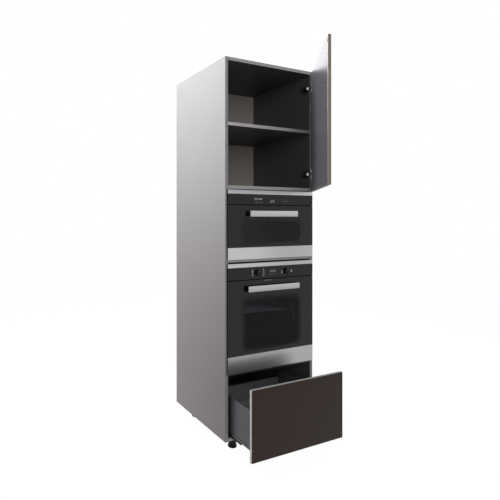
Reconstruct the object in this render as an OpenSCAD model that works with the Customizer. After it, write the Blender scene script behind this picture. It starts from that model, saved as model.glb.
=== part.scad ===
// Tall kitchen unit that houses an oven and a compact oven, with a cupboard above and a drawer below.
// Millimetres. X runs to the right, Y to the back, Z up.
// The origin is on the floor, midway between the four feet.
// The modules work in the carcass frame: Y = 0 is the front edge of the gables, Z = 0 their underside.

/* [Carcass] */
// Width over both gables
cab_w = 614; // [596:1:640]
// Depth of the gables
cab_d = 590; // [580:1:640]
// Height of the gables, without the feet
cab_h = 2080; // [2040:1:2300]
// Thickness of the gables, decks and shelf
panel_t = 18; // [16:0.5:20]
// Thickness of the back panels
back_t = 8; // [5:0.5:10]
// Distance from the rear edge of the gables to the back panels
back_inset = 20; // [14:1:28]
// Depth of the grooves that hold the back panels
groove_depth = 8; // [5:0.5:9]
// Height of the rails across the open rear of the ovens' niches
rail_h = 100; // [70:1:140]
// Thickness of the rear rails
rail_t = 16; // [12:0.5:18]
// Distance between the wall screws of a rear rail
wall_hole_pitch = 300; // [200:1:400]
// Radius of a wall screw's hole
wall_hole_r = 4; // [2.5:0.25:5]

/* [Cam fittings] */
// Radius of a cam
cam_r = 7.5; // [6:0.25:8]
// Depth of a cam in its panel
cam_depth = 12.5; // [10:0.5:13.5]
// Distance from the gable to a cam's centre
cam_inset = 34; // [24:1:40]
// Distance from the front edge to the front cams
cam_front = 130; // [124:1:160]
// Distance from the front edge to the rear cams
cam_rear = 430; // [380:1:435]

/* [Feet] */
// Height of the feet
foot_h = 75; // [70:1:120]
// Radius of a foot's pad
foot_r = 25; // [24:0.5:30]
// Height of a foot's pad
foot_pad_h = 12; // [8:0.5:14]
// Radius of a foot's grip
foot_grip_r = 22; // [19:0.5:22.5]
// Height of a foot's grip
foot_grip_h = 26; // [18:1:28]
// Radius of a foot's column
foot_column_r = 15; // [12:0.5:17]
// Thickness of a socket's roof
socket_roof = 5; // [4:0.5:6]
// Wall of a foot's socket
socket_wall = 3; // [2:0.25:4]
// Radius of a socket's flange
socket_flange_r = 31; // [26:0.5:34]
// Distance from a gable's outer face to a foot's axis
foot_side = 95; // [75:1:110]
// Distance from the front edge to a front foot's axis
foot_front = 75; // [50:1:85]
// Distance from the rear edge to a rear foot's axis
foot_rear = 90; // [80:1:110]

/* [Fronts] */
// Thickness of the door and the drawer front
front_t = 16; // [16:0.5:22]
// Gap between the carcass and the fronts
front_gap = 3; // [3:0.25:5]
// Gap between a front's side and the gable's outer face
front_side = 3; // [2:0.25:4]
// Height of the drawer front
drawer_front_h = 359; // [320:1:380]
// Height of the drawer front above the carcass underside
drawer_front_z = 2; // [0:0.5:6]
// Joint between the drawer front and the oven
drawer_joint = 2; // [2:0.25:5]
// Distance between the two ovens' fronts, in which the deck's edge shows
oven_joint = 21; // [19:0.5:30]
// Joint between the compact oven and the door
door_joint = 2; // [2:0.25:6]
// Distance from the top of the carcass to the top of the door
door_drop = 22; // [2:1:40]
// Chamfer of the fronts' upright edges
front_chamfer = 0.8; // [0.4:0.1:1.5]

/* [Cup hinges] */
// Angle at which the door stands open
door_open = 54; // [0:1:95]
// Radius of a hinge cup
cup_r = 17.5; // [16.5:0.25:18.5]
// Depth of a hinge cup
cup_depth = 14.5; // [14:0.25:15]
// Distance from the door's edge to a cup
cup_edge = 4; // [3.5:0.25:4.5]
// Distance from the door's lower edge to the lower hinge
hinge_low = 104; // [80:1:140]
// Distance from the door's upper edge to the upper hinge
hinge_high = 78; // [60:1:140]
// Length of a hinge arm behind the gable's front edge
hinge_arm_l = 60; // [50:1:70]

/* [Shelf] */
// Height of the shelf's top above the cupboard floor's top
shelf_rise = 344; // [250:1:420]
// Set-back of the shelf from the gables' front edge
shelf_setback = 2; // [1:0.5:20]
// Radius of a shelf pin
pin_r = 2.5; // [2:0.25:3]
// Distance between the pin holes of a row
pin_pitch = 32; // [25:1:40]
// Distance from the front edge to the front row of pin holes
pin_front = 70; // [50:1:100]
// Distance from the front edge to the rear row of pin holes
pin_rear = 480; // [420:1:500]

/* [Drawer] */
// Distance that the drawer stands open
drawer_out = 216; // [0:1:490]
// Gap between a gable and the drawer's side
side_gap = 14; // [13:0.25:18]
// Thickness of a drawer side
side_t = 14; // [12:0.5:16]
// Height of a drawer side
side_h = 190; // [150:1:250]
// Wall of a drawer side's hollow section
side_wall = 1.5; // [1:0.1:2]
// Length of the drawer box
drawer_l = 490; // [460:1:500]
// Thickness of the drawer's bottom and back
drawer_board = 16; // [12:0.5:18]
// Height of the drawer's back above its bottom
drawer_back_h = 106; // [80:1:130]

/* [Runners] */
// Height of the runners' lower face above the carcass floor's top
runner_lift = 5; // [3:0.5:8]
// Width of a runner channel
channel_w = 28; // [26:0.5:30]
// Height of a runner channel
channel_h = 12; // [11:0.5:14]
// Wall of a runner channel
channel_wall = 1.6; // [1.2:0.1:2]
// Running gap between the members of a runner
runner_gap = 0.3; // [0.2:0.05:0.5]
// Length of a runner's middle member
middle_l = 450; // [400:1:470]

/* [Appliances] */
// Distance from a gable's outer face to the appliances' fronts
appliance_reveal = 9.5; // [8:0.5:12]
// Distance that the appliances' fronts stand before the carcass
appliance_proud = 12; // [12:0.25:16]
// Thickness of the outer glass and the steel strips
glass_t = 5; // [4:0.25:5]
// Height of the steel strip at the top
top_strip_h = 22; // [16:0.5:30]
// Thickness of the folded steel of the strips
strip_wall = 1.2; // [0.8:0.1:1.5]
// Distance that a deck stands above an appliance's lower edge
deck_lap = 5; // [5:0.25:7]
// Gap between a casing and the gables
casing_gap = 11; // [8:0.5:14]
// Wall of a casing
casing_wall = 1.5; // [1:0.1:2]
// Gap between a casing and the rear rails
casing_rear = 9; // [4:0.5:40]
// Height that a casing is short of its front
casing_short = 20; // [18:0.5:30]
// Thickness of an oven door behind its outer glass
door_tub = 32; // [28:0.5:40]
// Wall of a cooking chamber
chamber_wall = 1.5; // [1:0.1:2]
// Corner radius of a cooking chamber
chamber_r = 14; // [8:0.5:20]
// Gap between a door and the control panel above it
swing_gap = 5; // [2:0.25:6]

/* [Oven] */
// Height of the oven's front
oven_h = 596; // [580:1:610]
// Height of the oven's control panel
oven_panel_h = 72; // [60:1:80]
// Height of the oven door's steel strip
oven_base_h = 93; // [80:1:110]
// Width of the oven's chamber
oven_chamber_w = 462; // [440:1:480]
// Distance from the oven door's upper edge down to its chamber
oven_chamber_top = 67; // [40:1:80]
// Depth of the oven's chamber
oven_chamber_d = 420; // [400:1:440]
// Height of the oven's chamber above the front's lower edge
oven_chamber_z = 85; // [75:1:95]

/* [Compact oven] */
// Height of the compact oven's front
compact_h = 382; // [375:1:460]
// Height of the compact oven's control panel
compact_panel_h = 62; // [50:1:70]
// Height of the compact oven door's steel strip
compact_base_h = 66; // [58:1:80]
// Width of the compact oven's chamber
compact_chamber_w = 450; // [420:1:470]
// Distance from the compact oven door's upper edge down to its chamber
compact_chamber_top = 35; // [28:1:50]
// Depth of the compact oven's chamber
compact_chamber_d = 400; // [360:1:420]
// Height of the compact oven's chamber above the front's lower edge
compact_chamber_z = 60; // [54:1:68]

/* [Oven racks] */
// Radius of the guide and frame wires
wire_r = 2.5; // [2:0.25:3]
// Radius of the wire rack's cross wires
cross_wire_r = 1.5; // [1:0.25:2]
// Distance between the guide levels
level_pitch = 58; // [50:1:62]
// Height of the lowest guide above the chamber's floor
level_low = 48; // [40:1:55]
// Clear height above the top guide level
level_clear = 40; // [30:1:60]
// Height of the baking tray's rim
tray_h = 24; // [18:0.5:30]

/* [Handles] */
// Length of the oven's handle between its end caps
oven_handle_l = 356; // [300:1:420]
// Length of the compact oven's handle between its end caps
compact_handle_l = 332; // [300:1:420]
// Height of a handle
handle_h = 32; // [26:0.5:36]
// Thickness of a handle
handle_t = 6.5; // [6:0.5:8]
// Distance from the glass to a handle's front
handle_reach = 23; // [20:0.5:50]
// Distance from the door's upper edge to the handle
handle_drop = 30; // [20:0.5:36]
// Width of a handle's end block
handle_end_w = 12; // [9:0.5:16]

/* [Knobs] */
// Radius of a knob
knob_r = 18; // [15:0.5:24]
// Height of a knob
knob_l = 16; // [12:0.5:24]
// Distance from the oven's centre to a knob
knob_x = 100; // [90:1:130]
// Height of the knobs above the control panel's lower edge
knob_z = 39; // [32:1:44]
// Length of a knob's shaft
shaft_l = 16; // [14:0.5:30]
// Radius of a knob's shaft
shaft_r = 4; // [3:0.25:5]

/* [Hidden] */
eps = 1;
fit = 0.05;

// Carcass
inner_w = cab_w - 2 * panel_t;
gable_x = inner_w / 2;
back_y = cab_d - back_inset - back_t;
foot_span = cab_d - foot_front - foot_rear;
foot_x = cab_w / 2 - foot_side;
front_y = -foot_front - foot_span / 2;

// The stack of fronts, from the carcass underside up
oven_z = drawer_front_z + drawer_front_h + drawer_joint;
compact_z = oven_z + oven_h + oven_joint;
compact_top = compact_z + compact_h;
door_z = compact_top + door_joint;
door_h = cab_h - door_drop - door_z;
front_w = cab_w - 2 * front_side;

// Decks
floor_lap = 5;
oven_deck_z = oven_z + deck_lap - panel_t;
compact_deck_z = compact_z + deck_lap - panel_t;
cupboard_floor_z = compact_top + floor_lap;
shelf_z = cupboard_floor_z + shelf_rise;
deck_heights = [oven_deck_z, compact_deck_z, cupboard_floor_z];

// Cup hinge: the pivot seen from the door's edge (across) and from the door's rear face (into the door)
cup_wall = 1;
knuckle_r = 2.4;
hinge_pin_r = 1.2;
knuckle_half = 4;
hinge_play = 0.25;
cup_centre = cup_edge + cup_r;
cup_hollow_r = cup_r - cup_wall;
pivot_across = cup_centre - sqrt(pow(cup_hollow_r, 2) - pow(knuckle_half, 2)) + knuckle_r + hinge_play;
pivot_into = cup_depth - 4;
pivot_x = front_w / 2 - pivot_across;
pivot_y = -front_gap - pivot_into;
neck_t = 3;
neck_reach = pivot_into + 0.9;
arm_w = 14;
arm_depth = 9;
arm_screw_r = 3.2;
plate_t = pivot_across + front_side + neck_reach - panel_t;
hinge_heights = [door_z + hinge_low, door_z + door_h - hinge_high];

// Drawer
side_x = gable_x - side_gap;
floor_top = panel_t;
runner_z = floor_top + runner_lift;
middle_flange = 2.2;
channel_joint = 2.4;
rail_z = runner_z + channel_h + channel_joint;
side_z = rail_z + channel_h;
drawer_bottom_z = side_z + 8;
runner_x = side_x - channel_w / 2 + 2;
runner_start = 2;
bracket_t = 2;
bracket_y = -front_gap + bracket_t;
tongue_l = 32;

// Appliances
app_w = cab_w - 2 * appliance_reveal;
casing_w = inner_w - 2 * casing_gap;
casing_d = back_y + back_t - rail_t - casing_rear;
face_y = -appliance_proud;
glass_y = face_y + glass_t;
flange_t = 2;
frame_y = -flange_t - 0.6;
tub_y = frame_y + door_tub - glass_t;
chamber_y = tub_y + 1;
flange_z = 10;
tub_w = casing_w - 2 * casing_wall - 7;
tub_low = 12;
tub_high = 9;
partition_drop = 3;
oven_door_h = oven_h - top_strip_h - oven_panel_h;
compact_door_h = compact_h - top_strip_h - compact_panel_h;
oven_chamber_h = oven_door_h - oven_chamber_top - oven_chamber_z;
compact_chamber_h = compact_door_h - compact_chamber_top - compact_chamber_z;
oven_handle_z = oven_door_h - handle_drop - handle_h;
compact_handle_z = compact_door_h - handle_drop - handle_h;
window_w = 430;
pane_lap = 12;
pane_seat = 5;
pane_t = 4;
oven_window_z = oven_base_h + 10;
oven_window_h = oven_handle_z - 22 - oven_window_z;
compact_window_z = compact_base_h + 10;
compact_window_h = compact_handle_z - 4 - compact_window_z;

// Drop-down hinges of the oven doors
drop_y = glass_y;
drop_z = deck_lap;
drop_pin_r = 2;
ear_r = 3.5;
ear_t = 4;
ear_x = app_w / 2 - 34;
ear_stub = 7;
block_w = 2 * ear_stub + ear_t + 4;

module in_carcass() {
    translate([0, front_y, foot_h]) children();
}

module in_door() {
    in_carcass()
        translate([pivot_x, pivot_y, 0]) rotate([0, 0, door_open]) translate([-pivot_x, -pivot_y, 0])
            children();
}

module in_drawer() {
    in_carcass() translate([0, -drawer_out, 0]) children();
}

module in_oven() {
    in_carcass() translate([0, 0, oven_z]) children();
}

module in_compact() {
    in_carcass() translate([0, 0, compact_z]) children();
}

module both_sides() {
    children();
    mirror([1, 0, 0]) children();
}

// A rectangle with round corners, centred across and standing on its lower edge
module round_rect(w, h, r) {
    translate([-w / 2 + r, 0]) square([w - 2 * r, h]);
    translate([-w / 2, r]) square([w, h - 2 * r]);
    for (x = [-w / 2 + r, w / 2 - r], y = [r, h - r]) translate([x, y]) circle(r, $fn = 48);
}

// Turns an outline in X and Z into a body that runs from y0 to the back
module run_back(y0, l) {
    translate([0, y0 + l, 0]) rotate([90, 0, 0]) linear_extrude(l) children();
}

// Turns an outline in Y and Z into a body that runs across, centred on X = 0
module run_across(l) {
    translate([-l / 2, 0, 0]) rotate([90, 0, 90]) linear_extrude(l) children();
}

// ---- Carcass ----

module gable() {
    difference() {
        translate([gable_x, 0, 0]) cube([panel_t, cab_d, cab_h]);
        translate([gable_x - eps, back_y, -eps]) cube([groove_depth + eps, back_t, cab_h + 2 * eps]);
        for (row = [pin_front, pin_rear], step = [-3:3])
            translate([gable_x - eps, row, shelf_z - pin_r + step * pin_pitch])
                rotate([0, 90, 0]) cylinder(h = 12 + eps, r = pin_r + fit, $fn = 32);
    }
}

module right_gable() {
    color("#a9a9ab") in_carcass() gable();
}

module left_gable() {
    color("#b4b4b6") in_carcass() mirror([1, 0, 0]) gable();
}

module cam_places() {
    for (side = [-1, 1], y = [cam_front, cam_rear])
        translate([side * (gable_x - cam_inset), y, 0]) children();
}

// A deck between the gables; its cams sit in the upper or the lower face
module deck(z, cams_above) {
    translate([0, 0, z]) difference() {
        translate([-gable_x, 0, 0]) cube([inner_w, back_y, panel_t]);
        cam_places() translate([0, 0, cams_above ? panel_t - cam_depth : -eps])
            cylinder(h = cam_depth + eps, r = cam_r + fit, $fn = 48);
    }
}

module top_panel() {
    color("#a9a9ab") in_carcass() deck(cab_h - panel_t, true);
}

module bottom_panel() {
    color("#a9a9ab") in_carcass() deck(0, false);
}

module oven_deck() {
    color("#a9a9ab") in_carcass() deck(oven_deck_z, false);
}

module compact_deck() {
    color("#a9a9ab") in_carcass() deck(compact_deck_z, false);
}

module cupboard_floor() {
    color("#a9a9ab") in_carcass() deck(cupboard_floor_z, false);
}

module cam() {
    difference() {
        cylinder(h = cam_depth, r = cam_r, $fn = 48);
        translate([-cam_r * 0.6, -0.6, -eps]) cube([cam_r * 1.2, 1.2, 2 + eps]);
        translate([-0.6, -cam_r * 0.6, -eps]) cube([1.2, cam_r * 1.2, 2 + eps]);
    }
}

module cam_fittings() {
    color("#8a8a8a") in_carcass() {
        for (z = concat([0], deck_heights)) translate([0, 0, z]) cam_places() cam();
        translate([0, 0, cab_h]) mirror([0, 0, 1]) cam_places() cam();
    }
}

module back_panel(z, h) {
    w = inner_w + 2 * (groove_depth - 0.5);
    in_carcass() translate([-w / 2, back_y, z]) cube([w, back_t, h]);
}

module upper_back_panel() {
    color("#3d3b3a") back_panel(cupboard_floor_z, cab_h - cupboard_floor_z);
}

module lower_back_panel() {
    color("#3d3b3a") back_panel(0, oven_deck_z + panel_t);
}

// Boards under the two upper decks that keep the gables apart where the niches have no back
module rear_rails() {
    color("#a9a9ab") in_carcass()
        for (z = [compact_deck_z, cupboard_floor_z]) translate([0, 0, z - rail_h]) difference() {
            translate([-gable_x, back_y + back_t - rail_t, 0]) cube([inner_w, rail_t, rail_h]);
            for (side = [-1, 1])
                translate([side * wall_hole_pitch / 2, back_y + back_t + eps, rail_h / 2])
                    rotate([90, 0, 0]) cylinder(h = rail_t + 2 * eps, r = wall_hole_r, $fn = 48);
        }
}

module adjustable_shelf() {
    w = inner_w - 2;
    color("#a9a9ab") in_carcass()
        translate([-w / 2, shelf_setback, shelf_z]) cube([w, back_y - shelf_setback - 3, panel_t]);
}

module shelf_pin() {
    rotate([0, 90, 0]) cylinder(h = 20, r = pin_r, $fn = 32);
    difference() {
        translate([10.5, 0, 0]) rotate([0, 90, 0]) cylinder(h = 1.5, r = 2 * pin_r, $fn = 32);
        translate([10, -2 * pin_r - eps, pin_r]) cube([3, 4 * pin_r + 2 * eps, 2 * pin_r]);
    }
}

module shelf_pins() {
    color("#c8c8ca") in_carcass() both_sides()
        for (row = [pin_front, pin_rear])
            translate([-gable_x - 12, row, shelf_z - pin_r]) translate([1.5, 0, 0]) shelf_pin();
}

// ---- Feet ----

module foot() {
    grip_n = 16;
    notch_r = 2;
    edge = 1.5;
    grip_top = foot_pad_h + foot_grip_h;
    difference() {
        rotate_extrude($fn = 96) polygon([
            [0, 0], [foot_r - edge, 0], [foot_r, edge], [foot_r, foot_pad_h - edge],
            [foot_r - edge, foot_pad_h], [foot_grip_r, foot_pad_h], [foot_grip_r, grip_top - edge],
            [foot_grip_r - edge, grip_top], [0, grip_top]
        ]);
        for (i = [0:grip_n - 1]) rotate([0, 0, i * 360 / grip_n])
            translate([foot_grip_r + notch_r / 2, 0, foot_pad_h + 3])
                cylinder(h = foot_grip_h, r = notch_r, $fn = 24);
    }
    translate([0, 0, grip_top])
        cylinder(h = foot_h - grip_top - socket_roof - 1, r = foot_column_r, $fn = 64);
}

module foot_place(side, row) {
    in_carcass() translate([side * foot_x, row, -foot_h]) children();
}

module foot_front_left() {
    color("#161616") foot_place(-1, foot_front) foot();
}

module foot_front_right() {
    color("#161616") foot_place(1, foot_front) foot();
}

module foot_rear_left() {
    color("#161616") foot_place(-1, cab_d - foot_rear) foot();
}

module foot_rear_right() {
    color("#161616") foot_place(1, cab_d - foot_rear) foot();
}

module foot_socket() {
    low = foot_pad_h + foot_grip_h + 5;
    difference() {
        union() {
            translate([0, 0, low])
                cylinder(h = foot_h - low, r = foot_column_r + socket_wall + fit, $fn = 64);
            translate([0, 0, foot_h - 4]) cylinder(h = 4, r = socket_flange_r, $fn = 64);
        }
        translate([0, 0, low - eps])
            cylinder(h = foot_h - low - socket_roof + eps, r = foot_column_r + fit, $fn = 64);
    }
}

module foot_sockets() {
    color("#1c1c1c") for (side = [-1, 1], row = [foot_front, cab_d - foot_rear])
        foot_place(side, row) foot_socket();
}

// ---- Cupboard door and its cup hinges ----

// A front board with its upright edges chamfered
module front_board(w, h, t) {
    c = front_chamfer;
    linear_extrude(h) polygon([
        [-w / 2, c], [-w / 2 + c, 0], [w / 2 - c, 0], [w / 2, c],
        [w / 2, t - c], [w / 2 - c, t], [-w / 2 + c, t], [-w / 2, t - c]
    ]);
}

module cup_places() {
    for (z = hinge_heights)
        translate([front_w / 2 - cup_centre, -front_gap, z]) rotate([90, 0, 0]) children();
}

module door_panel() {
    color("#3b302c") in_door() difference() {
        translate([0, -front_gap - front_t, door_z]) front_board(front_w, door_h, front_t);
        cup_places() translate([0, 0, -eps]) cylinder(h = cup_depth + eps, r = cup_r + fit, $fn = 64);
    }
}

// The cup, its flange, the two lugs in it and the pin that they hold
module hinge_cup() {
    flange_h = 1.2;
    flange_w = 26;
    flange_l = 52;
    screw_r = 1.5;
    bottom = 0.8;
    pin_x = cup_centre - pivot_across;
    lug_in = knuckle_half + hinge_play;
    difference() {
        union() {
            cylinder(h = cup_depth, r = cup_r, $fn = 64);
            translate([-flange_w / 2, -flange_l / 2, -flange_h]) cube([flange_w, flange_l, flange_h]);
        }
        translate([0, 0, -flange_h - eps])
            cylinder(h = cup_depth - bottom + flange_h + eps, r = cup_hollow_r, $fn = 64);
        for (side = [-1, 1]) translate([0, side * (flange_l / 2 - 4), -flange_h - eps])
            cylinder(h = flange_h + 2 * eps, r = screw_r, $fn = 24);
    }
    intersection() {
        cylinder(h = cup_depth, r = cup_hollow_r + cup_wall / 2, $fn = 64);
        for (side = [-1, 1])
            translate([pin_x - knuckle_r, side > 0 ? lug_in : -lug_in - cup_r, pivot_into - knuckle_r])
                cube([2 * knuckle_r, cup_r, cup_depth - pivot_into + knuckle_r]);
    }
    translate([pin_x, lug_in + 2, pivot_into]) rotate([90, 0, 0])
        cylinder(h = 2 * lug_in + 4, r = hinge_pin_r, $fn = 24);
}

module hinge_cups() {
    color("#b9bbbd") in_door() cup_places() hinge_cup();
}

// Plan of an arm: the pivot is at the origin, X runs towards the door's free edge and Y into the cupboard
module arm_plan() {
    gable_front = front_gap + pivot_into;
    circle(knuckle_r, $fn = 32);
    translate([0, -neck_t / 2]) square([neck_reach + neck_t, neck_t]);
    translate([neck_reach, -neck_t / 2]) square([neck_t, gable_front + 8]);
}

module arm_body_plan() {
    start = front_gap + pivot_into + 3;
    end = front_gap + pivot_into + hinge_arm_l;
    polygon([
        [neck_reach, start], [neck_reach + neck_t, start], [neck_reach + arm_depth, start + 9],
        [neck_reach + arm_depth, end - 6], [neck_reach + arm_depth - 3, end], [neck_reach, end]
    ]);
}

module hinge_arm() {
    difference() {
        union() {
            linear_extrude(2 * knuckle_half, center = true) arm_plan();
            linear_extrude(arm_w, center = true) arm_body_plan();
        }
        cylinder(h = 3 * knuckle_half, r = hinge_pin_r + fit, center = true, $fn = 24);
        for (share = [0.37, 0.7])
            translate([neck_reach + arm_depth - eps, front_gap + pivot_into + share * hinge_arm_l, 0])
                rotate([0, 90, 0]) cylinder(h = 2 * eps, r = arm_screw_r, $fn = 32);
    }
}

module hinge_arms() {
    color("#b9bbbd") in_carcass() for (z = hinge_heights)
        translate([pivot_x, pivot_y, z]) mirror([1, 0, 0]) hinge_arm();
}

// The plate that carries an arm, with its wings above and below
module hinge_plates() {
    wing_h = 50;
    wing_y = 24;
    wing_d = 22;
    color("#a5a7a9") in_carcass() for (z = hinge_heights) translate([gable_x, 0, z]) {
        translate([-plate_t, wing_y - 12, -arm_w / 2]) cube([plate_t, hinge_arm_l - wing_y + 12, arm_w]);
        difference() {
            translate([-2.5, wing_y, -wing_h / 2]) cube([2.5, wing_d, wing_h]);
            for (side = [-1, 1]) translate([-3, wing_y + wing_d / 2, side * 18])
                rotate([0, 90, 0]) cylinder(h = 4, r = 2.5, $fn = 24);
        }
    }
}

module door_bumpers() {
    color("#d8d8d8") in_door() for (z = [door_z + 24, door_z + door_h - 24])
        translate([-front_w / 2 + 13, -front_gap, z]) rotate([-90, 0, 0]) cylinder(h = 2, r = 4.5, $fn = 32);
}

// ---- Drawer ----

module drawer_front() {
    color("#3a2f2b") in_drawer()
        translate([0, -front_gap - front_t, drawer_front_z]) front_board(front_w, drawer_front_h, front_t);
}

// Cross-section of the right-hand side: a hollow wall with a round top and a ledge for the bottom board
module side_section() {
    r = 3;
    difference() {
        union() {
            square([side_t, side_h - r]);
            translate([r, 0]) square([side_t - 2 * r, side_h]);
            for (x = [r, side_t - r]) translate([x, side_h - r]) circle(r, $fn = 32);
        }
        translate([side_wall, side_wall]) square([side_t - 2 * side_wall, side_h - r - side_wall]);
    }
    translate([-8, drawer_bottom_z - side_z - side_wall]) square([8, side_wall]);
}

module drawer_side() {
    translate([side_x - side_t, 0, side_z]) run_back(bracket_y, drawer_l) side_section();
}

module drawer_side_right() {
    color("#4b4d52") in_drawer() drawer_side();
}

module drawer_side_left() {
    color("#4b4d52") in_drawer() mirror([1, 0, 0]) drawer_side();
}

module drawer_bottom() {
    w = 2 * (side_x - side_t);
    color("#55565a") in_drawer() translate([-w / 2, -front_gap, drawer_bottom_z])
        cube([w, drawer_l + front_gap - drawer_board, drawer_board]);
}

module drawer_back() {
    w = 2 * (side_x - side_t);
    color("#3a3c40") in_drawer()
        translate([-w / 2, drawer_l - drawer_board, drawer_bottom_z])
            cube([w, drawer_board + bracket_y, drawer_board + drawer_back_h]);
}

// The plates that join the front to the sides, each with a tongue in the side's hollow
module front_brackets() {
    play = 0.3;
    tongue_w = side_t - 2 * side_wall - 2 * play;
    tongue_h = side_h - 3 - side_wall - 2 * play;
    color("#2c2d30") in_drawer() both_sides() {
        translate([side_x - side_t, -front_gap, side_z]) cube([side_t, bracket_t, side_h - 3]);
        translate([side_x - side_t + side_wall + play, bracket_y, side_z + side_wall + play])
            cube([tongue_w, tongue_l, tongue_h - side_wall]);
    }
}

// Cross-section of a runner channel: its mouth, with the two lips, is at the top
module channel_section() {
    lip = 5;
    difference() {
        translate([-channel_w / 2, 0]) square([channel_w, channel_h]);
        translate([-channel_w / 2 + channel_wall, channel_wall])
            square([channel_w - 2 * channel_wall, channel_h - 2 * channel_wall]);
        translate([-channel_w / 2 + channel_wall + lip, channel_wall])
            square([channel_w - 2 * (channel_wall + lip), channel_h]);
    }
}

module cabinet_runners() {
    flange_h = 34;
    reach = gable_x - runner_x - channel_w / 2;
    color("#1d1d1f") in_carcass() both_sides()
        translate([runner_x, 0, runner_z]) run_back(runner_start, drawer_l - 10) {
            channel_section();
            translate([channel_w / 2 - eps, 0]) square([reach + eps, channel_wall]);
            translate([channel_w / 2 + reach - channel_wall, 0]) square([channel_wall, flange_h]);
        }
}

module middle_runners() {
    flange_w = channel_w - 2 * channel_wall - 2 * runner_gap;
    low = channel_wall + runner_gap;
    high = channel_h + channel_joint + channel_h - channel_wall - runner_gap;
    color("#8f9193") in_carcass() translate([0, -drawer_out / 2, runner_z]) both_sides()
        translate([runner_x, 0, 0]) run_back(runner_start + 8, middle_l) {
            translate([-flange_w / 2, low]) square([flange_w, middle_flange]);
            translate([-flange_w / 2, high - middle_flange]) square([flange_w, middle_flange]);
            translate([-4, low]) square([8, high - low]);
        }
}

module drawer_rails() {
    color("#8f9193") in_drawer() both_sides()
        translate([runner_x, 0, rail_z + channel_h]) mirror([0, 0, 1])
            run_back(runner_start, drawer_l - 10) channel_section();
}

// ---- Parts that both ovens share; Z = 0 is the lower edge of the oven's front ----

// Folded steel strip, with its lower front edge round where it passes the front below
module steel_strip(h, round_r) {
    w = app_w;
    run_across(w) difference() {
        union() {
            translate([face_y, round_r]) square([glass_t, h - round_r]);
            translate([face_y + round_r, 0]) square([glass_t - round_r, h]);
            translate([face_y + round_r, round_r]) circle(round_r, $fn = 48);
        }
        translate([face_y + strip_wall, max(round_r, strip_wall)])
            square([glass_t, h - strip_wall - max(round_r, strip_wall)]);
    }
}

module glass_sheet(z, h) {
    translate([-app_w / 2, face_y, z]) cube([app_w, glass_t, h]);
}

// The sheet-steel body with its front flange, the carrier of the control panel and the vents at the rear
module casing(h, door_h) {
    body_h = h - casing_short;
    vent_n = 10;
    vent_pitch = 10;
    vent_w = 5;
    vent_h = 50;
    deck_top = deck_lap + casing_wall;
    partition = door_h - partition_drop;
    inside_w = casing_w - 2 * casing_wall;
    inside_d = casing_d - casing_wall;
    difference() {
        union() {
            translate([-app_w / 2, -flange_t, flange_z]) cube([app_w, flange_t, h - flange_z]);
            translate([-casing_w / 2, -eps, deck_lap]) cube([casing_w, casing_d + eps, body_h]);
            translate([-app_w / 2 + 3, glass_y, door_h + swing_gap])
                cube([app_w - 6, -glass_y - flange_t + 0.2, h - door_h - swing_gap - 1]);
        }
        translate([-inside_w / 2, -20, deck_top]) cube([inside_w, inside_d + 20, partition - deck_top]);
        translate([-inside_w / 2, 0, partition + casing_wall])
            cube([inside_w, inside_d, deck_lap + body_h - 2 * casing_wall - partition]);
        translate([-casing_w / 2 - eps, -flange_t - eps, 0])
            cube([casing_w + 2 * eps, flange_t + eps, flange_z]);
        for (side = [-1, 1], i = [0:vent_n - 1])
            translate([side * casing_w / 4 + (i - vent_n / 2) * vent_pitch, casing_d - 2 * casing_wall,
                (partition + deck_lap + body_h - vent_h) / 2])
                cube([vent_w, 4 * casing_wall, vent_h]);
    }
}

// The enamelled cooking chamber, with the flange that closes the casing's front
module chamber(w, h, d, z, door_h) {
    flange_w = casing_w - 2 * casing_wall;
    low = deck_lap + casing_wall;
    outer_w = w + 2 * chamber_wall;
    outer_h = h + 2 * chamber_wall;
    difference() {
        union() {
            translate([-flange_w / 2, chamber_y, low + 4])
                cube([flange_w, chamber_wall, door_h - partition_drop - low - 4]);
            translate([0, 0, z - chamber_wall])
                run_back(chamber_y, d + chamber_wall) round_rect(outer_w, outer_h, chamber_r + chamber_wall);
        }
        translate([0, 0, z]) run_back(chamber_y - eps, d + eps) round_rect(w, h, chamber_r);
    }
}

// The swinging frame: a carrier plate behind the outer glass, and the tub that reaches into the casing
module door_frame(door_h, win_w, win_z, win_h) {
    plate_low = 0.6;
    plate_h = door_h - plate_low;
    tub_h = door_h - tub_low - tub_high;
    seat_w = win_w + 2 * pane_lap;
    seat_h = win_h + 2 * pane_lap;
    difference() {
        union() {
            translate([-app_w / 2 + 1, glass_y, plate_low]) cube([app_w - 2, frame_y - glass_y, plate_h]);
            translate([0, 0, tub_low]) run_back(frame_y, tub_y - frame_y) round_rect(tub_w, tub_h, 10);
            both_sides() translate([ear_x - block_w / 2, face_y + 1.5, plate_low])
                cube([block_w, frame_y - face_y - 1.5, 2 * (drop_z - plate_low)]);
        }
        translate([0, 0, win_z])
            run_back(glass_y - eps, tub_y - glass_y + 2 * eps) round_rect(win_w, win_h, pane_lap);
        translate([0, 0, win_z - pane_lap])
            run_back(tub_y - pane_seat, pane_seat + eps) round_rect(seat_w, seat_h, pane_lap / 2);
        both_sides() {
            translate([ear_x - ear_t / 2 - 0.5, face_y, -eps]) cube([ear_t + 1, 30, 2 * drop_z + eps]);
            translate([ear_x - block_w / 2 - eps, drop_y, drop_z])
                rotate([0, 90, 0]) cylinder(h = block_w + 2 * eps, r = drop_pin_r + fit, $fn = 32);
        }
    }
}

module inner_glass(win_w, win_z, win_h) {
    play = 0.5;
    lap = pane_lap - play;
    translate([0, 0, win_z - lap])
        run_back(tub_y - pane_seat, pane_t) round_rect(win_w + 2 * lap, win_h + 2 * lap, 5);
}

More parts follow.
